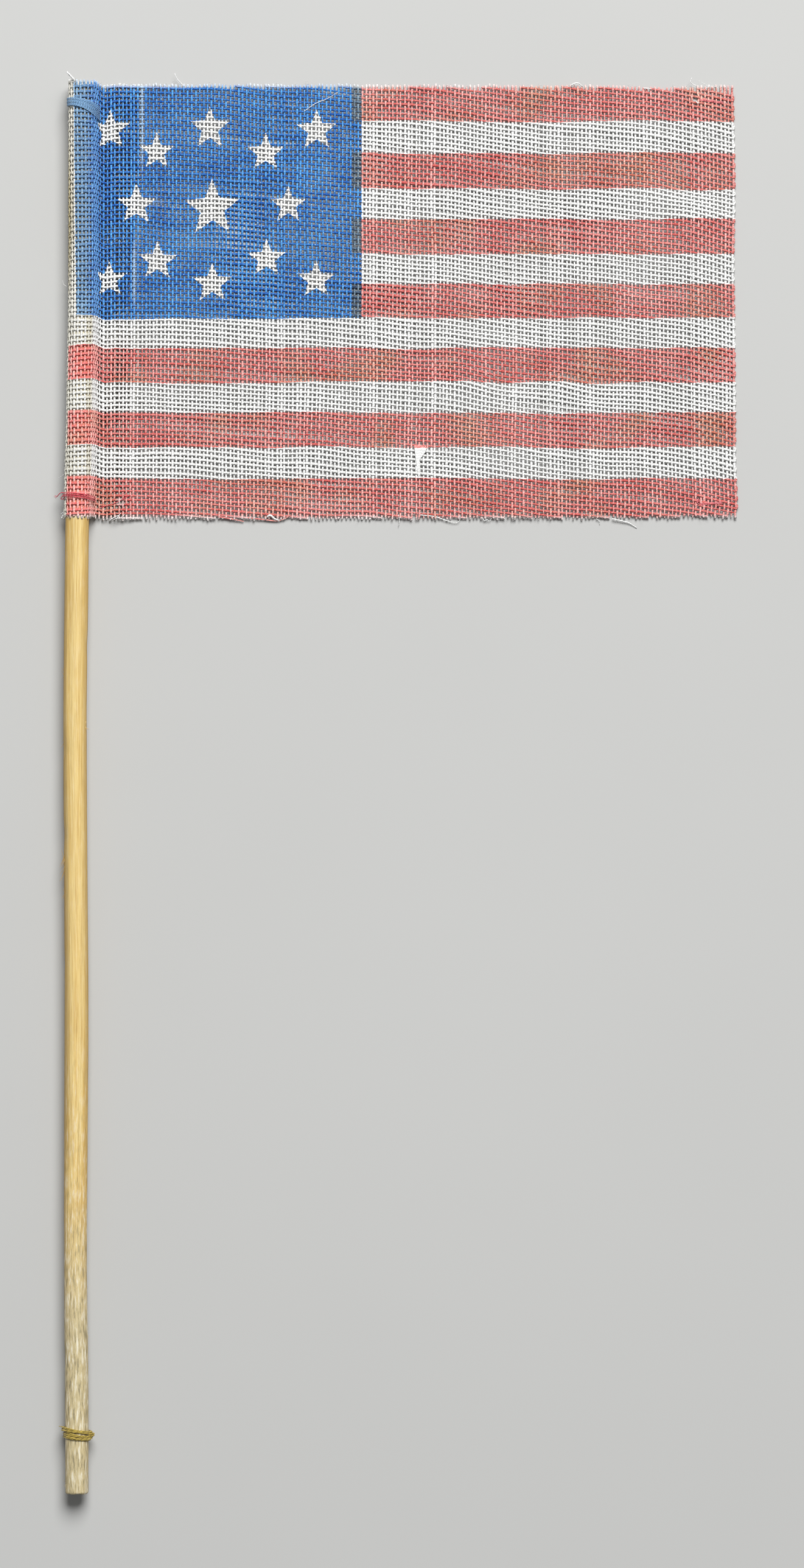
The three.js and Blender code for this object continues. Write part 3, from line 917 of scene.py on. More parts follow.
@dataclass(frozen=True)
class BareSoftwood:
    """Split softwood, turned thin on a dowel machine and left bare.

    Long grain with darker resin lines, flanks painted darker and more honey-coloured as painted shade,
    and a greyed stretch that hands held.
    """

    early: str = "#DBC283"
    late: str = "#B08841"
    honey: str = "#D0AB5C"
    grey: str = "#B4AE93"
    dusty: str = "#8E8B80"
    # pale wood inside the sleeve, painted lighter as painted light against the sleeve's shade
    lit_in_sleeve: str = "#E6DFC6"
    reddened: str = "#E0806C"
    bleached: str = "#EAE6D4"
    cracked: str = "#716A54"
    flake: float = 0.32  # width of the weathered flakes
    fibre: float = 0.16  # width of the grain's lines, in millimetres
    run: float = 9.0  # length over which a line keeps its shade

    def material(self) -> bpy.types.Material:
        """Make the wood's material.

        Returns:
            The material.
        """
        material, add = new_material("softwood_bare_turned")
        timber = add("Attribute", attribute_name="timber", out="Vector")
        x, y = (add("SeparateXYZ", timber, out=axis) for axis in "XY")
        lines = add("VectorMath.MULTIPLY", timber, (1.0, self.fibre / self.run, 1.0))
        grain = add("TexNoise", lines, 1 / self.fibre, 4.0, 0.6)
        broad = add("TexNoise", lines, 0.22 / self.fibre, 2.0)
        flakes = add("VectorMath.MULTIPLY", timber, (1.0, 0.13, 1.0))
        flakes = add("TexNoise", flakes, 1 / self.flake, 4.0, 0.62)
        # Weathering has bleached the outermost fibres and opened fine cracks, most of all near the butt.
        weathered = add("MapRange", y, -140.0, -192.0, 0.12, 0.9)
        bleached, cracked = (
            add("Math.MULTIPLY", add("MapRange", flakes, low, high, 0.0, 0.8), weathered)
            for low, high in ((0.52, 0.66), (0.47, 0.35)))
        wood = linear(self.early)
        for share, tone in (
            (add("MapRange", broad, 0.4, 0.7, 0.0, 0.55), self.honey),
            (add("MapRange", grain, 0.42, 0.72, 0.0, 0.75), self.late),
            # Painted shade: the flanks, as seen from above, are darkened towards the late wood's tone.
            (add("MapRange", add("Math.ABSOLUTE", x), 0.9, 1.75, 0.0, 0.6), self.late),
            (add("MapRange", y, -165.0, -185.0, 0.0, 0.6), self.grey),
            (bleached, self.bleached), (cracked, self.cracked),
        ):
            wood = add("Mix.RGBA", share, wood, linear(tone))
        # In the sleeve, the wood has taken dust through the weave, and the print's rubbed-off reds and blue;
        # its pale and red tones there are also painted lighter, as painted light against the shade inside
        # the sleeve.
        printed = Print()
        down = add("Math.MULTIPLY_ADD", y, -1.0, 0.3 - printed.first)
        phase = add("Math.FRACT", add("Math.DIVIDE", down, printed.repeat))
        stripe = add("Math.LESS_THAN", phase, printed.red / printed.repeat)
        canton = add("Math.LESS_THAN", down, printed.canton_height)
        rubbed = add("Mix.RGBA", stripe, linear(self.lit_in_sleeve), linear(self.reddened))
        rubbed = add("Mix.RGBA", canton, rubbed, linear(self.dusty))
        sleeved = add("MapRange", y, -HOIST - 0.1, -HOIST + 0.5, 0.0, 0.85)
        wood = add("Mix.RGBA", sleeved, wood, rubbed)
        relief = add("Math.MULTIPLY_ADD", flakes, weathered, grain)
        normal = add("Bump", {"Height": relief, "Strength": 0.8, "Distance": 0.07 * MM})
        add("OutputMaterial", add("BsdfPrincipled", {
            "Base Color": wood, "Roughness": add("MapRange", grain, 0.3, 0.7, 0.5, 0.72), "IOR": 1.5,
            "Specular IOR Level": 0.35, "Normal": normal}))
        return material


# --- the cloth


class Piece(Enum):
    """The woven cloth's pieces, side by side from the flap to the fly, with their start in s."""

    cloth_sleeve = -20.0
    cloth_canton = 3.4
    cloth_middle = 27.0
    cloth_outer = 50.5
    cloth_fly = 74.0


@dataclass
class Weave:
    """The open plain weave: every thread of the cloth, laid on its surface."""

    surface: ClothSurface
    design: Print
    level_pitch: float = 0.7097
    last_upright: float = 97.05  # s of the thread next to the fly
    past_flap: float = -18.4  # s past the flap's raw edge
    first_level: float = 0.42  # t of the first level thread that starts at the sleeve
    upright_half: float = 0.138  # half a thread's width
    level_half: float = 0.166
    upright_height: float = 0.08  # half its height; the level threads are flatter
    level_height: float = 0.062
    crimp: float = 0.065  # how far each thread rises and dips over its neighbours
    slub_s: float = 49.5  # the slub: its top's left end, how wide and long it is, and how many fibres it has
    slub_spread: float = 1.3
    slub_top: float = 53.9
    slub_length: float = 5.0
    slub_fibres: int = 17
    # Level threads that lay nearer than this to the top and the bottom cut have slipped out.
    slipped: tuple[float, float] = (0.28, 0.12)
    shortest: int = 6  # a level thread with fewer crossings than this has dropped out of the edge
    full_bare: float = 1.18  # how much fuller the yarn is where no ink has matted it down
    full_inked: float = 1.05
    full_sleeve: tuple[float, float] = (1.45, 1.35)  # upright and level yarn, pressed onto the stick
    # The needle's holes in the fly's corners: s and t of the middle, how far they reach, how far they push.
    holes: tuple[tuple[float, ...], ...] = ((91.4, 2.18, 0.75, 0.3), (91.9, 61.9, 0.6, 0.18))
    flap_read_t: float = 30.0  # where the flap's start is read when the pieces are built
    seed: int = 11
    ripple: Wander = Wander(3, 7.0, 5.0, 0.15)  # the level threads' waves, from washing
    crossing_s: Array = field(init=False)
    crossing_t: Array = field(init=False)

    def __post_init__(self) -> None:
        """Place every crossing of an upright thread with a level one."""
        random = np.random.default_rng(self.seed)
        self.uprights = int((self.last_upright - self.past_flap) / UPRIGHT_PITCH) + 1
        s = self.last_upright - np.arange(self.uprights) * UPRIGHT_PITCH
        s[1:] += random.normal(0, 0.045, self.uprights - 1)
        step = 0.5
        stops = np.arange(self.past_flap, self.last_upright + 1, step)
        fall = np.interp(s, stops, np.cumsum(along(SLANT, stops)) * step)
        above = int(fall.max() / self.level_pitch) + 1
        self.levels = int(HOIST / self.level_pitch) + 1 + above
        t = self.first_level + (np.arange(self.levels) - above) * self.level_pitch
        t += random.normal(0, 0.035, self.levels)
        s, t = np.meshgrid(s, t, indexing="ij")
        woven = t
        t = t + fall[:, None]
        # The fly edge's own line has drawn the threads near it along.
        edge = along(EDGE_FLY, np.clip(t, 0, HOIST)) - 97.3
        s = s + edge * smooth((s - 70) / 27)
        s = s + Wander(1, 2.6, 14.0, 0.05).at(s, t) + Wander(2, 40.0, 9.0, 0.06).at(s, t)
        t = t + self.ripple.at(s, t) + Wander(4, 3.6, self.level_pitch, 0.035).at(s, woven)
        for hole_s, hole_t, reach, push in self.holes:
            away_s, away_t = s - hole_s, t - hole_t
            far = np.hypot(away_s, away_t) + 1e-6
            moved = push * np.exp(-((far / reach) ** 2))
            s, t = s + away_s / far * moved, t + away_t / far * moved
        self.crossing_s, self.crossing_t = s, t
        self.in_cloth = self.crossing_t > along(CUT_TOP, self.crossing_s) + self.slipped[0]
        self.in_cloth &= self.crossing_t < along(CUT_BOTTOM, self.crossing_s) - self.slipped[1]
        self.shade_upright = random.uniform(0.3, 1.0, self.uprights)
        self.shade_level = random.uniform(0.36, 0.64, self.levels)
        self.thick_upright = np.clip(random.normal(1.0, 0.13, self.uprights), 0.7, 1.4)
        self.thick_level = np.clip(random.normal(1.0, 0.09, self.levels), 0.8, 1.3)

    def _on_cloth(self, s: Array, t: Array, upright: float, rise: Array) -> Array:
        """Give the print places of a thread's points.

        Args:
            s: the points' places along the level threads.
            t: the same down the cloth.
            upright: 1 for an upright thread and 0 for a level one.
            rise: how high the thread stands over the middle surface.

        Returns:
            For each point s, t, uprightness and crown. The t is freed of the stripes' wander and of most
            of the ripple, which came after the printing.
        """
        crown = np.clip(0.5 + 0.5 * rise / self.crimp, 0, 1)
        printed = t - self.design.wander(t) - 0.75 * self.ripple.at(s, t)
        return np.stack([s, printed, np.full_like(s, upright), crown], 1)

    def upright_thread(self, i: int, mesh: StrandMesh) -> None:
        """Lay one upright thread, with its cut ends past the last level threads.

        Args:
            i: its number, counted from the fly.
            mesh: the mesh that takes it.
        """
        random = np.random.default_rng([self.seed, 1, i])
        kept = self.in_cloth[i]
        if self.crossing_s[i, 0] < -14:
            kept = kept & (self.crossing_s[i] > self.surface.flap_start(self.crossing_t[i]) + 0.1)
        s, t = self.crossing_s[i, kept], self.crossing_t[i, kept]
        if len(s) < 4:
            return
        rise = self.crimp * (1 - 2 * ((np.flatnonzero(kept) + i) % 2))
        s, t, rise = double(s), double(t), double(rise)
        lean = random.normal(0, 0.07, 2)
        top = min(float(along(CUT_TOP, s[0])) + random.normal(0, 0.08), t[0] - 0.12)
        bottom = max(float(along(CUT_BOTTOM, s[-1])) + random.normal(0, 0.11), t[-1] + 0.12)
        first, last = s[0] + lean[0] * np.array([1.0, 0.4]), s[-1] + lean[1] * np.array([0.4, 1.0])
        s = np.concatenate([first, s, last])
        t = np.concatenate([[top, (top + t[0]) / 2], t, [(bottom + t[-1]) / 2, bottom]])
        rise = np.concatenate([[0.0, rise[0] * 0.5], rise, [rise[-1] * 0.5, 0.0]])
        wide = self.upright_half * self.thick_upright[i] * (1 + 0.10 * random.normal(0, 1, len(s)))
        high = np.full(len(s), self.upright_height)
        wide = wide * self._fullness(s, t, True)
        wide[[1, -2]] *= 1.1
        wide[[0, -1]] *= 0.8
        points, normals = self.surface.at(s, t, rise)
        mesh.add(points, normals, wide, high, self._on_cloth(s, t, 1.0, rise), float(self.shade_upright[i]))

    def _fullness(self, s: Array, t: Array, upright: bool) -> Array:
        """How full a thread's yarn is at places of the print.

        Args:
            s: places along the level threads.
            t: the same down the cloth.
            upright: whether the thread is an upright one.

        Returns:
            Its width there, as a share of its plain width.
        """
        full = np.where(self.design.inked(s, t), self.full_inked, self.full_bare)
        on_sleeve = smooth((s + 5.6) / 1.2) * smooth((2.6 - s) / 1.2)
        return full * (1 - on_sleeve) + self.full_sleeve[0 if upright else 1] * on_sleeve

    def slub(self, mesh: StrandMesh) -> None:
        """Lay the lump of unspun fibres on one upright thread, spread at its top and drawn in below.

        Args:
            mesh: the mesh that takes them.
        """
        random = np.random.default_rng([self.seed, 2])
        for k in range(self.slub_fibres):
            down = np.linspace(0, random.uniform(0.7, 1.0), 18)
            spread = self.slub_spread * (0.8 + 0.2 * smooth(down / 0.1)) * (1 - smooth((down - 0.1) / 0.4))
            s = self.slub_s + 0.6 * down + (spread + 0.35) * k / (self.slub_fibres - 1)
            t = self.slub_top + random.uniform(-0.12, 0.12) + self.slub_length * down
            lift = 0.16 - 0.1 * down
            lift[[0, -1]] = 0.02
            points, normals = self.surface.at(s, t, lift)
            thin = 0.13 - 0.07 * down
            thin[[0, -1]] = 0.05
            mesh.add(points, normals, thin, thin * 0.5, self._on_cloth(s, t, 1.0, 0 * s), 0.3)

    def level_thread(self, j: int, piece: Piece, mesh: StrandMesh) -> None:
        """Lay the stretch of one level thread that one piece holds.

        Args:
            j: its number, counted from the top edge.
            piece: the piece.
            mesh: the piece's mesh.
        """
        s, t, held = self.crossing_s[::-1, j], self.crossing_t[::-1, j], self.in_cloth[::-1, j]
        number = np.arange(self.uprights)[::-1]
        rise = -self.crimp * (1 - 2 * ((number + j) % 2))
        wide = self.level_half * self.thick_level[j] * (
            1 + Wander(60 + j, 0.9, 9.0, 0.10).at(s, 0 * s) + Wander(160 + j, 6.0, 9.0, 0.07).at(s, 0 * s))
        wide = wide * self._fullness(s, t, False)
        held = long_runs(held, self.shortest)
        s, t, rise, wide, held = double(s), double(t), double(rise), double(wide), double(held) > 0.9
        start = self.surface.flap_start(t) + 0.12 * (j % 3)
        low, high = piece.value, piece_end(piece)
        kept = (s > np.maximum(low - 0.01, start)) & (s <= high)
        if not kept.any():
            return
        # One sample more on the right, so that the stretches of neighbouring pieces meet.
        last = np.flatnonzero(kept)[-1]
        kept[min(last + 1, len(kept) - 1)] = True
        for run in stretches(kept & held, 3):
            points, normals = self.surface.at(s[run], t[run], rise[run])
            mesh.add(points, normals, wide[run], self.level_height,
                     self._on_cloth(s[run], t[run], 0.0, rise[run]), float(self.shade_level[j]))

    def selvedge(self, mesh: StrandMesh) -> None:
        """Turn the level threads back round the last upright one, pair by pair.

        Args:
            mesh: the mesh that takes the turns.
        """
        for j in range(0, self.levels - 1, 2):
            if not self.in_cloth[0, j:j + 2].all():
                continue
            s, t = self.crossing_s[0, j:j + 2], self.crossing_t[0, j:j + 2]
            out = 0.22
            bend_s = np.array([s[0] - 0.2, s[0] + 0.08, s[0] + out, s[1] + out, s[1] + 0.08, s[1] - 0.2])
            bend_t = np.array([t[0], t[0], t[0] + 0.1, t[1] - 0.1, t[1], t[1]])
            rise = self.crimp * np.array([-1, -0.8, -0.2, 0.2, 0.8, 1])
            points, normals = self.surface.at(bend_s, bend_t, rise)
            mesh.add(points, normals, self.level_half * 0.8, self.level_height,
                     self._on_cloth(bend_s, bend_t, 0.3, rise), float(self.shade_level[j]))

    def build(self, layout: Layout, material: bpy.types.Material) -> list[bpy.types.Object]:
        """Make the cloth's pieces.

        Args:
            layout: flag space's place in the frame.
            material: the printed cotton.

        Returns:
            One object for each piece, from the sleeve to the fly.
        """
        pieces = []
        for piece in Piece:
            mesh = StrandMesh(piece.name)
            for i in range(self.uprights):
                if piece.value <= np.median(self.crossing_s[i]) < piece_end(piece):
                    self.upright_thread(i, mesh)
            for j in range(self.levels):
                self.level_thread(j, piece, mesh)
            if piece is Piece.cloth_fly:
                self.selvedge(mesh)
            if piece is Piece.cloth_middle:
                self.slub(mesh)
            made = mesh.build(layout, material)
            low = max(piece.value, float(self.surface.flap_start(self.flap_read_t)))
            hand_over(made, "flag_cloth", "printed_cotton")
            pieces.append(made)
        return pieces


def piece_end(piece: Piece) -> float:
    """Where a piece of the cloth ends in s."""
    starts = [other.value for other in Piece] + [200.0]
    return starts[starts.index(piece.value) + 1]


def double(values: Array) -> Array:
    """Put a mean between each two values.

    Args:
        values: the values.

    Returns:
        Them and the means, in order.
    """
    out = np.empty(2 * len(values) - 1)
    out[::2] = values
    out[1::2] = (values[1:] + values[:-1]) / 2
    return out


def stretches(kept: Array, least: int) -> list[slice]:
    """The runs of at least so many true values in an array, as slices."""
    edges = np.flatnonzero(np.diff(np.concatenate([[0], kept.astype(int), [0]])))
    return [slice(a, b) for a, b in zip(edges[::2], edges[1::2]) if b - a >= least]


def long_runs(kept: Array, least: int) -> Array:
    """Numbers that are 1 in an array's runs of at least so many true values, and 0 elsewhere.

    Args:
        kept: the array.
        least: the shortest run that counts.

    Returns:
        The numbers.
    """
    out = np.zeros(len(kept))
    for run in stretches(kept, least):
        out[run] = 1
    return out


# --- the stick


@dataclass
class Stick:
    """The thin wooden stick: turned roughly round, a little flattened, dented and split."""

    axis: StickAxis
    finish: BareSoftwood = BareSoftwood()
    radius: float = 1.755
    sides: int = 52
    step: float = 0.36
    round_off: float = 0.34  # radius of the ends' worn edges
    dent_long: float = 1.5  # a dent's reach along the stick
    dent_wide: float = 0.55  # and round it, in radians
    dents: tuple[tuple[float, float, float], ...] = (
        (-99.3, 2.6, 0.10), (-112.0, 2.9, 0.12), (-84.0, 0.2, 0.07), (-131.0, 3.4, 0.08),
        (-148.5, 0.5, 0.06), (-160.0, 2.2, 0.08), (-178.0, 1.2, 0.05), (-190.0, 2.8, 0.08),
    )  # y, turn in radians from +x, depth

    def _radii(self, y: Array, turn: Array) -> Array:
        """Give the stick's radius all over it.

        Args:
            y: the stations' heights, one a row.
            turn: the angles round it, one a column.

        Returns:
            A radius for each station and angle.
        """
        facet = 0.028 * np.cos(3 * turn + y / 24) + 0.018 * np.cos(5 * turn - y / 17 + 1)
        swell = Wander(21, 11.0, 9.0, 0.018).at(y + 0 * turn, 0 * y + 0 * turn)
        grain = np.zeros_like(facet)
        for seed, lines, run, deep in ((22, 26, 30.0, 0.016), (23, 58, 14.0, 0.008)):
            wrapped = Wander(seed, run, 1.0, deep)
            grain += wrapped.at(y + 0 * turn, np.minimum(turn, 2 * np.pi - turn) * lines / np.pi)
        dent = np.zeros_like(facet)
        for place, side, deep in self.dents:
            off = np.angle(np.exp(1j * (turn - side)))
            dent += deep * np.exp(-((y - place) / self.dent_long) ** 2 - (off / self.dent_wide) ** 2)
        return self.radius + facet + swell + grain - dent

    def body(self, layout: Layout, material: bpy.types.Material) -> bpy.types.Object:
        """Make the stick's body as rings along its axis, with closed rounded ends.

        Args:
            layout: flag space's place in the frame.
            material: the wood.

        Returns:
            The new object.
        """
        length = self.axis.top - self.axis.butt
        stations = int(length / self.step)
        ends = np.array([0.04, 0.11, 0.22])
        y = np.linspace(self.axis.top, self.axis.butt, stations)
        y = np.sort(np.concatenate([y, self.axis.top - ends, self.axis.butt + ends]))[::-1, None]
        turn = (2 * np.pi * np.arange(self.sides) / self.sides)[None]
        radii = self._radii(y, turn)
        for end in (self.axis.top, self.axis.butt):
            near = np.clip(1 - np.abs(y - end) / self.round_off, 0, 1)
            radii = radii - self.round_off * (1 - np.sqrt(1 - near**2)) * 0.8
        rings = [(y, radii)]
        for share in (0.6, 0.25):
            rings = [(y[:1], radii[:1] * share), *rings, (y[-1:], radii[-1:] * share)]
        y, radii = (np.vstack(column) for column in zip(*rings))
        saw = Wander(24, 0.5, 0.5, 0.05)
        x, z = radii * np.cos(turn), radii * np.sin(turn)
        ragged = np.clip(saw.at(x, z), -0.08, 0.08)
        inward = np.where(y > self.axis.top - 0.5, -1.0, np.where(y < self.axis.butt + 0.5, 1.0, 0.0))
        tall = np.clip(y + inward * np.abs(ragged), self.axis.butt, self.axis.top)
        axis_x, axis_z = self.axis.at(y)
        points = np.stack([axis_x + x, tall, axis_z + z], -1).reshape(-1, 3)

        n, m = self.sides, len(y)
        i, k = np.arange(m - 1)[:, None] * n, np.arange(n)[None]
        after = (k + 1) % n
        quads = np.stack([i + k, i + after, i + n + after, i + n + k], -1).reshape(-1, 4)
        caps = np.array([np.arange(n)[::-1], (m - 1) * n + np.arange(n)])
        mesh = bpy.data.meshes.new("stick_body")
        fill_mesh(mesh, layout.to_metres(points), quads, caps)
        write_map(mesh, self._map(m))
        write_attribute(mesh, "timber", np.stack([x, y + 0 * x, z], -1).reshape(-1, 3))
        mesh.materials.append(material)
        return new_object("stick_body", mesh)

    def _map(self, stations: int) -> Array:
        """Unroll the stick onto five strips of the bake's map, one place a face corner.

        Args:
            stations: how many rings it has.

        Returns:
            The places.
        """
        strips = 5
        n = self.sides
        per_strip = math.ceil((stations - 1) / strips)
        i, k = np.meshgrid(np.arange(stations - 1), np.arange(n), indexing="ij")
        shelf = i // per_strip
        u0 = (i - shelf * per_strip) / (per_strip + 1)
        u1 = u0 + 1 / (per_strip + 1)
        v0 = (shelf + 0.02 + 0.94 * k / n) / strips
        v1 = (shelf + 0.02 + 0.94 * (k + 1) / n) / strips
        faces = np.stack([u0, v0, u0, v1, u1, v1, u1, v0], -1).reshape(-1, 2)
        turn = 2 * np.pi * np.arange(n) / n
        disc = np.stack([np.cos(turn), np.sin(turn)], 1) * 0.004
        return np.vstack([faces, disc + [0.995, 0.3], disc + [0.995, 0.7]]).clip(0, 1)

    def splinters(self, layout: Layout, material: bpy.types.Material) -> bpy.types.Object:
        """Make the splinters and torn fibres that stand off the stick's side.

        Args:
            layout: flag space's place in the frame.
            material: the wood.

        Returns:
            One object holding them all.
        """
        random = np.random.default_rng(31)
        mesh = StrandMesh("stick_splinters", sides=4)
        # Each tuft: y of its root, reach along the stick, how far out it stands, count, side of the stick.
        tufts = ((-116.0, 2.4, 1.1, 9, -1), (-121.0, 1.0, 0.7, 4, -1), (-88.0, 1.2, 0.6, 3, -1),
                 (-95.6, 0.9, 0.5, 3, 1), (-97.9, 1.0, 0.5, 2, -1), (-141.0, 1.0, 0.4, 2, 1),
                 (-186.0, 1.2, 0.4, 3, 1), (-208.5, 0.8, 0.4, 3, -1))
        for root, reach, stand, count, side in tufts:
            for _ in range(count):
                y0 = root + random.uniform(-0.5, 0.5) * reach
                turn = random.normal(0.15, 0.3)
                axis_x, axis_z = self.axis.at(y0)
                out = np.array([side * math.cos(turn), 0.0, math.sin(turn)])
                base = np.array([axis_x, y0, axis_z]) + out * (self.radius - 0.06)
                length = reach * random.uniform(0.5, 1.0)
                far = stand * random.uniform(0.4, 1.0)
                way = random.choice([-1.0, 1.0], p=[0.7, 0.3])
                path = curve_through([
                    base - [0, way * 0.8, 0], base, base + out * far * 0.45 + [0, way * length * 0.5, 0.05],
                    base + out * far + [0, way * length * 0.8, random.uniform(-0.1, 0.3)],
                ], 0.12)
                thin = 0.055 * (1 - 0.85 * np.linspace(0, 1, len(path)))
                mesh.add(path, (0.0, 0.0, 1.0), thin, thin * 0.7)
        return mesh.build(layout, material)

    def build(self, layout: Layout) -> list[bpy.types.Object]:
        """Make and dress the stick.

        Args:
            layout: flag space's place in the frame.

        Returns:
            Its objects.
        """
        material = self.finish.material()
        pieces = [self.body(layout, material), self.splinters(layout, material)]
        places = np.array([v.co[:] for v in pieces[1].data.vertices])
        write_attribute(pieces[1].data, "timber", layout.from_metres(places))
        for made in pieces:
            hand_over(made, "stick", "wood")
        return pieces


# --- the ties


@dataclass
class ThreadTie:
    """A thread wound round the sleeve or the stick, with its loose ends."""

    name: str
    node: str
    slot: str
    finish: SewingThread
    thickness: float
    ply_pitch: float = 0.75  # one turn of the plies round each other
    runs: list[tuple[Array, float]] = field(default_factory=list)

    def add_run(self, points: Sequence[Sequence[float]] | Array, share: float = 1.0) -> None:
        """Add a stretch of thread, of a share of the full thickness, along a smooth curve through points."""
        self.runs.append((curve_through(points, 0.11), share * self.thickness))

    def build(self, layout: Layout) -> bpy.types.Object:
        """Twist each stretch from two plies and make the tie.

        Args:
            layout: flag space's place in the frame.

        Returns:
            The new object.
        """
        mesh = StrandMesh(self.name, sides=5)
        random = np.random.default_rng(len(self.name))
        for path, thick in self.runs:
            side, lift = sides_of(path, [0.02, 0.03, 1.0])
            for ply in (0.0, np.pi):
                turn = (2 * np.pi * travelled(path) / self.ply_pitch + ply)[:, None]
                offset = 0.24 * thick * (np.cos(turn) * side + np.sin(turn) * lift)
                mesh.add(path + offset, lift, 0.3 * thick, 0.28 * thick, lot=float(random.uniform()))
        made = mesh.build(layout, self.finish.material())
        hand_over(made, self.node, self.slot)
        return made


@dataclass
class Ties:
    """The three thread ties: two round the sleeve, one on the bare stick."""

    axis: StickAxis
    surface: ClothSurface

    # A tie's loop round the sleeve, as [turn in degrees, distance from the axis]: over the stick, down
    # the sleeve's side into the cloth, and back under the stick.
    sleeve_loop = ((-180, 2.2), (-135, 2.22), (-90, 2.28), (-62, 2.75), (-42, 3.3), (-25, 2.72), (-8, 2.34),
                   (15, 2.2), (45, 2.18), (180, 2.18))

    sweep: float = 2.2  # the turns stay level over the stick and fall where they go into the cloth

    def _sleeve_turns(self, left: Sequence[float], right: Sequence[float], seed: int) -> Array:
        """Wind turns round the sleeve.

        Args:
            left: y of each turn at the stick's left side.
            right: y of each turn where it goes into the cloth on the right.
            seed: seed of their unevenness.

        Returns:
            The path through all of them.
        """
        random = np.random.default_rng(seed)
        turns, radii = np.array(self.sleeve_loop, float).T
        points = []
        count = len(left)
        for k in range(count):
            heap = random.uniform(0.0, 0.1)
            for turn in np.arange(180, -180, -12):
                radius = float(np.interp(turn, turns, radii)) + heap * (turn > -10)
                axis_x, axis_z = self.axis.at(left[k])
                x = radius * math.cos(math.radians(turn))
                under = min(max(-turn / 180, 0.0), 1.0)
                share = np.clip((x + 2.0) / 4.6, 0, 1) ** self.sweep
                following = left[min(k + 1, count - 1)]
                y = left[k] * (1 - share) + right[k] * share
                y += (following - left[k]) * under * (1 - share)
                z = axis_z + radius * math.sin(math.radians(turn))
                points.append((axis_x + x, y, max(z, 0.12)))
        return np.array(points)

    def blue(self) -> ThreadTie:
        """Lay the blue tie: a tight bundle on the left that fans out into the cloth on the right.

        Returns:
            The tie.
        """
        tie = ThreadTie("blue_tie_thread", "blue_tie", "blue_thread",
                        SewingThread("blue_thread", "#2F649B", "#94BEE0"), thickness=0.15)
        left = [-2.42 - 0.15 * k for k in range(8)]
        right = [-3.6 - 0.28 * k for k in range(8)]
        tie.add_run(self._sleeve_turns(left, right, 41))
        return tie

    def red(self) -> ThreadTie:
        """Lay the red tie, with its knot at the left and its tail over the cloth.

        Returns:
            The tie.
        """
        tie = ThreadTie("red_tie_thread", "red_tie", "red_thread",
                        SewingThread("red_thread", "#B81F33", "#DE5263"), thickness=0.15)
        tie.add_run(self._sleeve_turns([-61.15, -61.4, -61.65], [-61.8, -62.05, -62.35], 42))
        left, height = self.axis.at(-61.5)
        left -= 2.2
        tie.add_run([(left + 0.35, -61.2, height + 0.9), (left - 0.1, -61.1, height + 0.5),
                     (left - 0.5, -61.25, height + 0.1), (left - 0.9, -61.65, height - 0.5)])
        for y, away in ((-61.45, 1.3), (-61.6, 1.42), (-61.8, 1.35), (-61.95, 1.15)):
            tie.add_run([(left - 0.85, -61.63, height - 0.45), (left - 1.05, (y - 61.65) / 2, height - 0.6),
                         (left - away, y, height - 0.9)], 0.35)
        tie.add_run([(left + 0.2, -61.5, height + 0.7), (left - 0.2, -61.75, height + 0.35),
                     (left - 0.3, -62.0, height), (left, -62.1, height + 0.3),
                     (left + 0.3, -61.8, height + 0.8)])
        s = np.linspace(2.5, 7.05, 17)
        t = 63.35 - 0.4 * (s - 2.5) + 0.12 * np.sin(1.6 * s)
        tail, _ = self.surface.at(s, t, 0.16 + 0.13 * np.cos(np.pi * (s - s[0]) / UPRIGHT_PITCH))
        tie.add_run(tail, 0.7)
        return tie

    def yellow(self) -> ThreadTie:
        """Lay the yellow tie: a heaped winding, a small loop and a short end.

        Returns:
            The tie.
        """
        tie = ThreadTie("yellow_tie_thread", "yellow_tie", "yellow_thread",
                        SewingThread("yellow_thread", "#76631A", "#CFB552"), thickness=0.145, ply_pitch=0.9)
        random = np.random.default_rng(43)
        per_turn, count = 24, 13
        lap = np.arange(count * per_turn + 1) / per_turn
        turn = np.radians(170) - 2 * np.pi * lap
        # Each turn strays from its even place, so that some cross over others.
        stops = np.arange(0, count + 1, 0.25)
        stray = np.interp(lap, stops, random.uniform(-0.16, 0.16, len(stops)))
        heap = np.interp(lap, stops, random.uniform(0.0, 0.16, len(stops)))
        y = -200.5 - 0.12 * lap - 0.24 * np.cos(turn) + stray
        # On the right the middle turns are drawn out to a point, and on the left the first ones stand off.
        right = np.exp(-((np.angle(np.exp(1j * turn)) / 0.4) ** 2))
        left = np.exp(-((np.angle(np.exp(1j * (turn - np.pi))) / 0.5) ** 2))
        drawn = right * np.interp(lap, (0, 2, 4, 8, 11, 13), (0.15, 0.4, 1.0, 0.9, 0.45, 0.1))
        y = y + 0.45 * drawn * (-201.4 - y)
        radius = 1.87 + heap + 0.66 * drawn + 0.24 * left * (lap < 5)
        axis_x, axis_z = self.axis.at(y)
        z = np.maximum(axis_z + radius * np.sin(turn), 0.14)
        tie.add_run(np.stack([axis_x + radius * np.cos(turn), y, z], 1))
        axis_x, axis_z = self.axis.at(YELLOW_TIE_Y)
        for reach, drop, share in ((2.68, 0.0, 0.8), (2.45, -0.15, 0.5)):
            tie.add_run([(axis_x - 1.3, -200.55, axis_z + 1.4), (axis_x - 1.9, -200.4, axis_z + 0.7),
                         (axis_x - 2.2, -200.25 + drop, axis_z + 0.1),
                         (axis_x - reach, -200.25 + drop, axis_z - 0.4)], share)
        return tie

    def build(self, layout: Layout) -> list[bpy.types.Object]:
        """Make all three ties."""
        return [tie.build(layout) for tie in (self.blue(), self.red(), self.yellow())]


# --- what has come loose


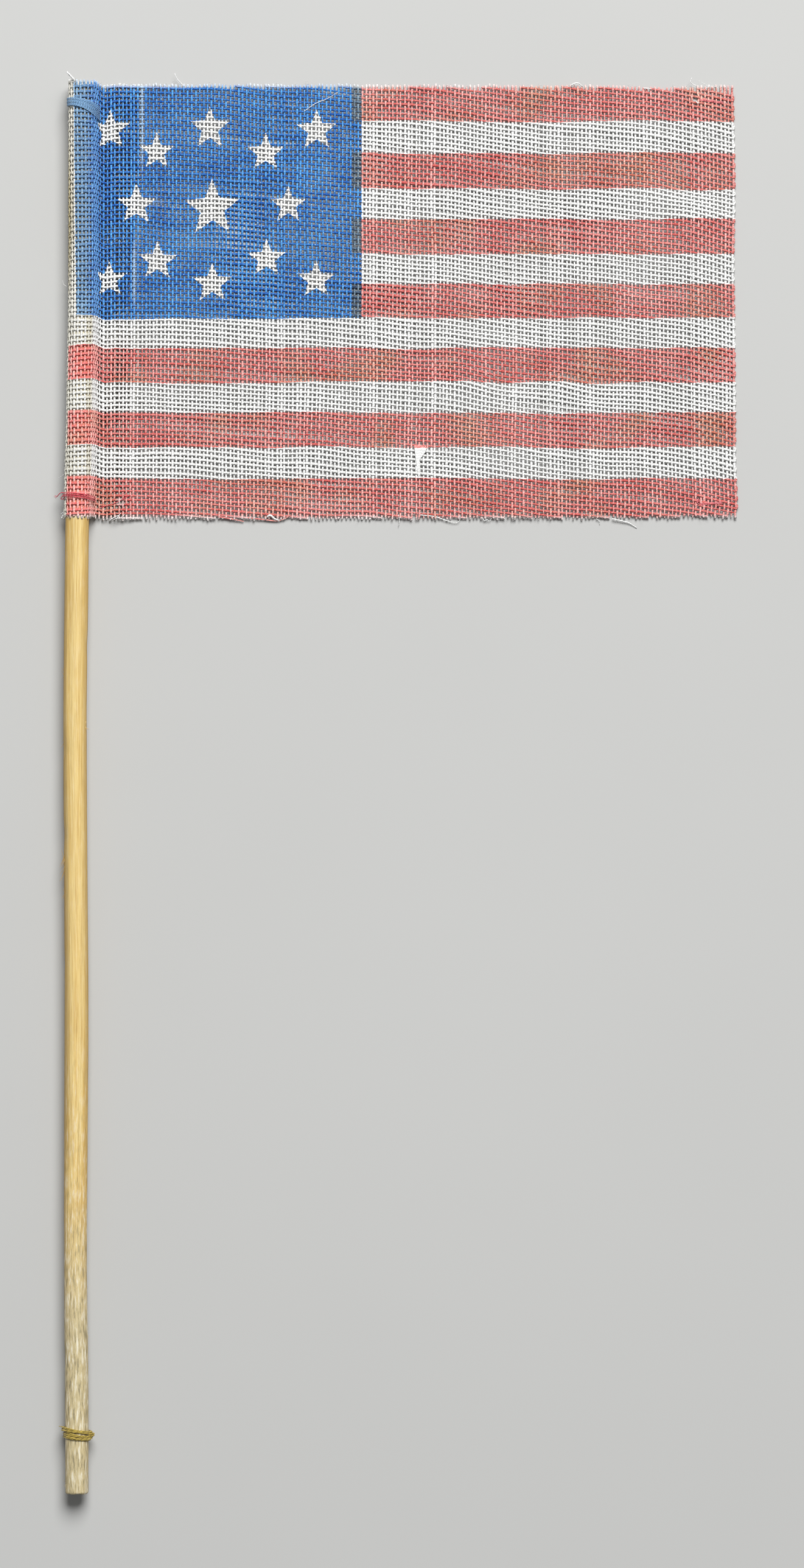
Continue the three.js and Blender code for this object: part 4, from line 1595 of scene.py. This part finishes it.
class Ink(Enum):
    """A place on the print whose colour a loose thread carries, as s and t."""

    bare = (60.0, 7.7)
    red = (60.0, 12.6)
    blue = (23.0, 13.0)


@dataclass
class Fray:
    """What has come loose of the cloth: threads at its raw edges, a flared corner and fine hairs."""

    surface: ClothSurface
    hair_half: float = 0.018  # half a cotton hair's width; finer in truth, drawn as coarse as shows
    hairs: int = 700
    edge_hairs: int = 240
    seed: int = 51

    # Loose threads: ink, half width, and [x, y, height] of the points that each passes.
    threads = (
        (Ink.bare, 0.17, ((-0.95, -0.5, 4.3), (-1.0, 0.05, 4.6), (-1.5, 0.65, 5.0), (-1.95, 1.15, 5.15),
                          (-2.3, 1.35, 5.1))),
        (Ink.bare, 0.1, ((-1.1, -0.2, 4.4), (-1.35, 0.5, 4.9), (-1.9, 0.95, 5.0), (-2.15, 1.5, 4.9))),
        (Ink.bare, 0.07, ((14.95, -0.35, 0.6), (14.75, 0.0, 0.75), (14.1, 0.68, 1.0), (13.8, 1.3, 1.1),
                          (13.72, 1.6, 1.0))),
        (Ink.bare, 0.045, ((33.0, -4.1, 0.75), (34.8, -2.9, 0.95), (36.6, -2.15, 0.95),
                           (38.3, -1.05, 0.75))),
        (Ink.blue, 0.06, ((24.3, -2.5, 0.7), (24.5, -1.6, 0.9), (25.1, -0.5, 0.75))),
        (Ink.bare, 0.075, ((50.2, -64.3, 0.5), (52.6, -64.6, 0.45), (54.4, -65.2, 0.4), (55.6, -65.45, 0.38),
                         (56.2, -65.2, 0.42), (56.3, -64.3, 0.6))),
        (Ink.bare, 0.06, ((47.1, -64.3, 0.5), (47.25, -65.2, 0.4), (47.1, -66.1, 0.25))),
        (Ink.bare, 0.06, ((59.6, -64.7, 0.5), (59.95, -65.2, 0.45), (60.35, -65.0, 0.5), (60.7, -65.25, 0.4),
                          (61.0, -64.8, 0.45))),
        (Ink.bare, 0.1, ((79.0, -64.9, 0.5), (80.6, -65.25, 0.4), (81.6, -65.55, 0.3),
                         (82.7, -66.25, 0.15))),
        (Ink.bare, 0.05, ((76.6, -64.9, 0.45), (77.1, -65.2, 0.3), (77.15, -65.8, 0.15))),
        (Ink.bare, 0.17, ((27.5, -64.6, 0.5), (28.0, -64.4, 0.72), (28.6, -64.9, 0.55),
                          (29.3, -65.15, 0.4))),
        (Ink.bare, 0.07, ((4.0, -65.1, 1.0), (4.6, -64.75, 1.15), (5.3, -64.4, 1.05))),
        (Ink.bare, 0.08, ((4.9, -65.25, 0.85), (5.2, -64.7, 1.1), (5.6, -64.1, 0.95))),
        (Ink.bare, 0.05, ((4.4, -65.3, 0.8), (4.8, -64.95, 1.2), (5.7, -64.7, 1.1), (6.3, -64.2, 0.9))),
        (Ink.red, 0.13, ((20.2, -64.6, 0.5), (22.0, -64.9, 0.45), (24.0, -65.3, 0.35))),
        (Ink.red, 0.12, ((24.6, -64.75, 0.5), (26.8, -65.0, 0.4), (28.9, -65.2, 0.35), (30.2, -64.85, 0.45),
                         (31.0, -64.3, 0.6))),
        (Ink.bare, 0.06, ((91.6, -0.3, 0.7), (91.0, 0.0, 0.9), (90.65, 0.35, 1.1), (90.9, 0.9, 1.1))),
        (Ink.bare, 0.035, ((93.6, -0.5, 0.7), (92.9, -0.1, 1.0), (91.9, 0.5, 1.1))),
        (Ink.bare, 0.055, ((93.0, -1.0, 0.6), (93.2, -0.5, 0.8), (93.9, -0.35, 0.85), (94.6, -0.5, 0.8),
                           (95.0, -1.0, 0.65))),
        (Ink.bare, 0.09, ((83.7, -0.62, 0.62), (84.2, -0.66, 0.74), (84.75, -0.72, 0.7),
                          (84.95, -0.85, 0.55))),
        (Ink.bare, 0.12, ((72.9, -0.45, 0.6), (73.1, -0.05, 0.9), (73.9, 0.1, 0.95), (74.6, -0.35, 0.6))),
        (Ink.bare, 0.03, ((-2.35, -58.0, 2.6), (-3.0, -58.5, 2.5), (-3.6, -58.85, 2.2))),
        (Ink.bare, 0.035, ((-2.3, -30.4, 2.8), (-2.75, -30.1, 3.0), (-2.95, -29.5, 3.1))),
        (Ink.bare, 0.08, ((91.6, -2.6, 0.6), (91.75, -2.85, 0.78), (92.0, -2.75, 0.6))),
    )

    # The flared corner at the sleeve's lower end: x and y that its threads reach, and their half width.
    flare = ((-3.15, -64.9, 0.17), (-2.85, -65.0, 0.15), (-2.55, -65.05, 0.17), (-2.3, -65.1, 0.14),
             (-3.3, -64.3, 0.06))

    @staticmethod
    def _inked(path: Array, ink: Ink) -> Array:
        """Give print places along a loose thread, near its ink's own place."""
        s, t = ink.value
        return np.array([(s + run, t, 0.6, 0.6) for run in travelled(path)])

    def loose_threads(self, mesh: StrandMesh) -> None:
        """Lay the loose threads and the flared corner, each thinning to its free end.

        Args:
            mesh: the mesh that takes them.
        """
        for ink, half, points in self.threads:
            path = curve_through(points, 0.16)
            taper = 1 - 0.45 * smooth(np.linspace(-0.6, 1, len(path)))
            mesh.add(path, (0.05, 0.1, 1.0), half * taper, half * 0.75 * taper, self._inked(path, ink), 0.7)
        height = float(self.surface.axis.at(-64.0)[1])
        for x, y, half in self.flare:
            path = curve_through([
                (-1.95, -61.6, height - 0.2), (-2.1, -62.8, height - 0.35),
                ((x - 2.3) / 2, (y - 63.5) / 2, height - 0.55), (x, y, height - 0.9)], 0.16)
            mesh.add(path, (-0.6, 0.0, 0.8), half, half * 0.6, self._inked(path, Ink.bare), 0.5)

    def fine_hairs(self, mesh: StrandMesh) -> None:
        """Raise fine cotton hairs all over the cloth, and more of them along its edges.

        Args:
            mesh: the mesh that takes them.
        """
        random = np.random.default_rng(self.seed)
        starts = [(random.uniform(-6.5, 97), random.uniform(0.5, 64.5)) for _ in range(self.hairs)]
        for _ in range(self.edge_hairs):
            side = random.choice(4, p=[0.36, 0.36, 0.14, 0.14])
            across, down = random.uniform(-6, 97), random.uniform(0, 65)
            top, bottom = float(along(CUT_TOP, across)), float(along(CUT_BOTTOM, across))
            starts.append(((across, top + 0.15), (across, bottom - 0.15), (97.2, down), (-6.4, down))[side])
        for s, t in starts:
            heading = random.uniform(0, 2 * np.pi)
            reach = random.uniform(0.3, 0.85)
            bend = random.normal(0, 0.8)
            u = np.linspace(0, 1, 6)
            turn = heading + bend * u
            along_s = s + reach * np.cumsum(np.cos(turn)) / 6
            along_t = t + reach * np.cumsum(np.sin(turn)) / 6
            lift = 0.1 + random.uniform(0.08, 0.3) * np.sin(np.pi * u * random.uniform(0.5, 1.0))
            path, normals = self.surface.at(along_s, along_t, lift)
            places = np.tile([*Ink.bare.value, 1.0, 1.0], (6, 1))
            thin = self.hair_half * np.linspace(1, 0.5, 6)
            mesh.add(path, normals, thin, thin, places, float(random.uniform(0.5, 1)))

    def stitches(self) -> list[ThreadTie]:
        """Lay the red stitches left in the fly's two corners, darned over and under the upright threads.

        Returns:
            One tie for each corner.
        """
        faded = SewingThread("faded_red_thread", "#CC5860", "#F4989C")
        made = []
        for name, s_range, t_range in (("stitch_upper", (91.9, 95.6), (2.3, 2.78)),
                                       ("stitch_lower", (92.0, 95.5), (62.7, 62.5))):
            tie = ThreadTie(name, "flag_cloth", "red_thread", faded, thickness=0.14)
            s = np.linspace(*s_range, 14)
            t = np.linspace(*t_range, 14)
            for offset in (-0.08, 0.1):
                over = 0.13 + 0.09 * np.cos(np.pi * (s - s[0]) / UPRIGHT_PITCH + offset)
                over[[0, -1]] = -0.12
                path, _ = self.surface.at(s, t + offset, over)
                tie.add_run(path)
            made.append(tie)
        knot, _ = self.surface.at(np.array([91.9, 91.65, 91.85, 92.0, 91.7, 91.9]),
                                  np.array([62.7, 62.3, 61.95, 62.2, 62.3, 61.9]),
                                  np.array([0.15, 0.3, 0.3, 0.2, 0.3, 0.05]))
        made[1].add_run(knot)
        return made

    def build(self, layout: Layout, material: bpy.types.Material) -> list[bpy.types.Object]:
        """Make the loose threads, hairs and stitches.

        Args:
            layout: flag space's place in the frame.
            material: the printed cotton.

        Returns:
            One object of each.
        """
        pieces = []
        for name, sides, lay in (("loose_threads", 6, self.loose_threads),
                                 ("cotton_hairs", 3, self.fine_hairs)):
            mesh = StrandMesh(name, sides=sides)
            lay(mesh)
            made = mesh.build(layout, material)
            hand_over(made, "flag_cloth", "printed_cotton")
            pieces.append(made)
        return pieces + [stitch.build(layout) for stitch in self.stitches()]


# --- the studio


@dataclass
class Studio:
    """A pale floor, soft light from above, and the camera straight over the flag."""

    layout: Layout
    look_at: tuple[float, float] = (47.63, -104.5)  # flag space, under the camera
    view_height: float = 234.2  # of the frame, on the surface
    lens: float = 180.0  # long, as the flag was seen from far above, in millimetres like the sensor
    sensor: float = 36.0
    floor_half: float = 1.5  # in metres
    room_strength: float = 0.22
    lamp_place: tuple[float, float, float] = (0.2, 1.0, 1.25)  # in metres, like the next
    lamp_size: float = 1.0
    lamp_power: float = 41.0

    def floor(self) -> None:
        """Lay the pale, matt floor."""
        material, add = new_material("painted_board_matt")
        tone = add("TexNoise", {"Scale": 40.0, "Detail": 3.0})
        colour = add("Mix.RGBA", tone, linear("#B3B3B1"), linear("#B8B8B6"))
        add("OutputMaterial", add("BsdfPrincipled", {
            "Base Color": colour, "Roughness": 0.9, "Specular IOR Level": 0.2}))
        mesh = bpy.data.meshes.new("floor")
        half = self.floor_half
        corners = [(-half, -half, 0), (half, -half, 0), (half, half, 0), (-half, half, 0)]
        mesh.from_pydata(corners, [], [(0, 1, 2, 3)])
        mesh.materials.append(material)
        new_object("floor", mesh)

    def lights(self) -> None:
        """Hang one broad lamp high beyond the flag's top edge, in an even pale room.

        Its light comes down at a slant, so the threads shade the surface in the weave's holes.
        """
        world = bpy.data.worlds.new("room")
        world.use_nodes = True
        background = world.node_tree.nodes["Background"]
        background.inputs["Color"].default_value = linear("#F4F6F8")
        background.inputs["Strength"].default_value = self.room_strength
        bpy.context.scene.world = world
        data = bpy.data.lights.new("key", "AREA")
        data.shape = "DISK"
        data.size = self.lamp_size
        data.energy = self.lamp_power
        lamp = new_object("key", data)
        lamp.location = self.lamp_place
        lamp.rotation_euler = (-lamp.location).to_track_quat("-Z", "Y").to_euler()

    def camera(self) -> None:
        """Set the camera straight above, with the stick upright in its view."""
        data = bpy.data.cameras.new("camera")
        data.lens = self.lens
        data.sensor_width = self.sensor
        data.clip_start = 0.05
        camera = new_object("camera", data)
        spot = self.layout.to_metres(np.array([*self.look_at, 0.0]))
        camera.location = (spot[0], spot[1], self.view_height * MM * self.lens / self.sensor)
        bpy.context.scene.camera = camera

    def build(self) -> None:
        """Set up the whole studio."""
        self.floor()
        self.lights()
        self.camera()
        bpy.context.scene.view_settings.view_transform = "Standard"


def report(made: bpy.types.Object) -> None:
    """Log a piece's name, triangles and size.

    Args:
        made: the piece.
    """
    triangles = sum(len(face.vertices) - 2 for face in made.data.polygons)
    size = " x ".join(f"{side / MM:.1f}" for side in made.dimensions)
    LOG.info("%s: %d triangles, %s mm", made.name, triangles, size)


def main() -> None:
    """Build the flag and its studio, and report each piece."""
    logging.basicConfig(level=logging.INFO, format="%(name)s: %(message)s")
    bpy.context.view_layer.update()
    layout = Layout.from_frame()
    Studio(layout).build()

    axis = StickAxis(layout)
    surface = ClothSurface(axis)
    scrim = PrintedScrim()
    cotton = scrim.material()
    for made in (*Weave(surface, scrim.design).build(layout, cotton), *Fray(surface).build(layout, cotton),
                 *Stick(axis).build(layout), *Ties(axis, surface).build(layout)):
        report(made)


if __name__ == "__main__":
    main()
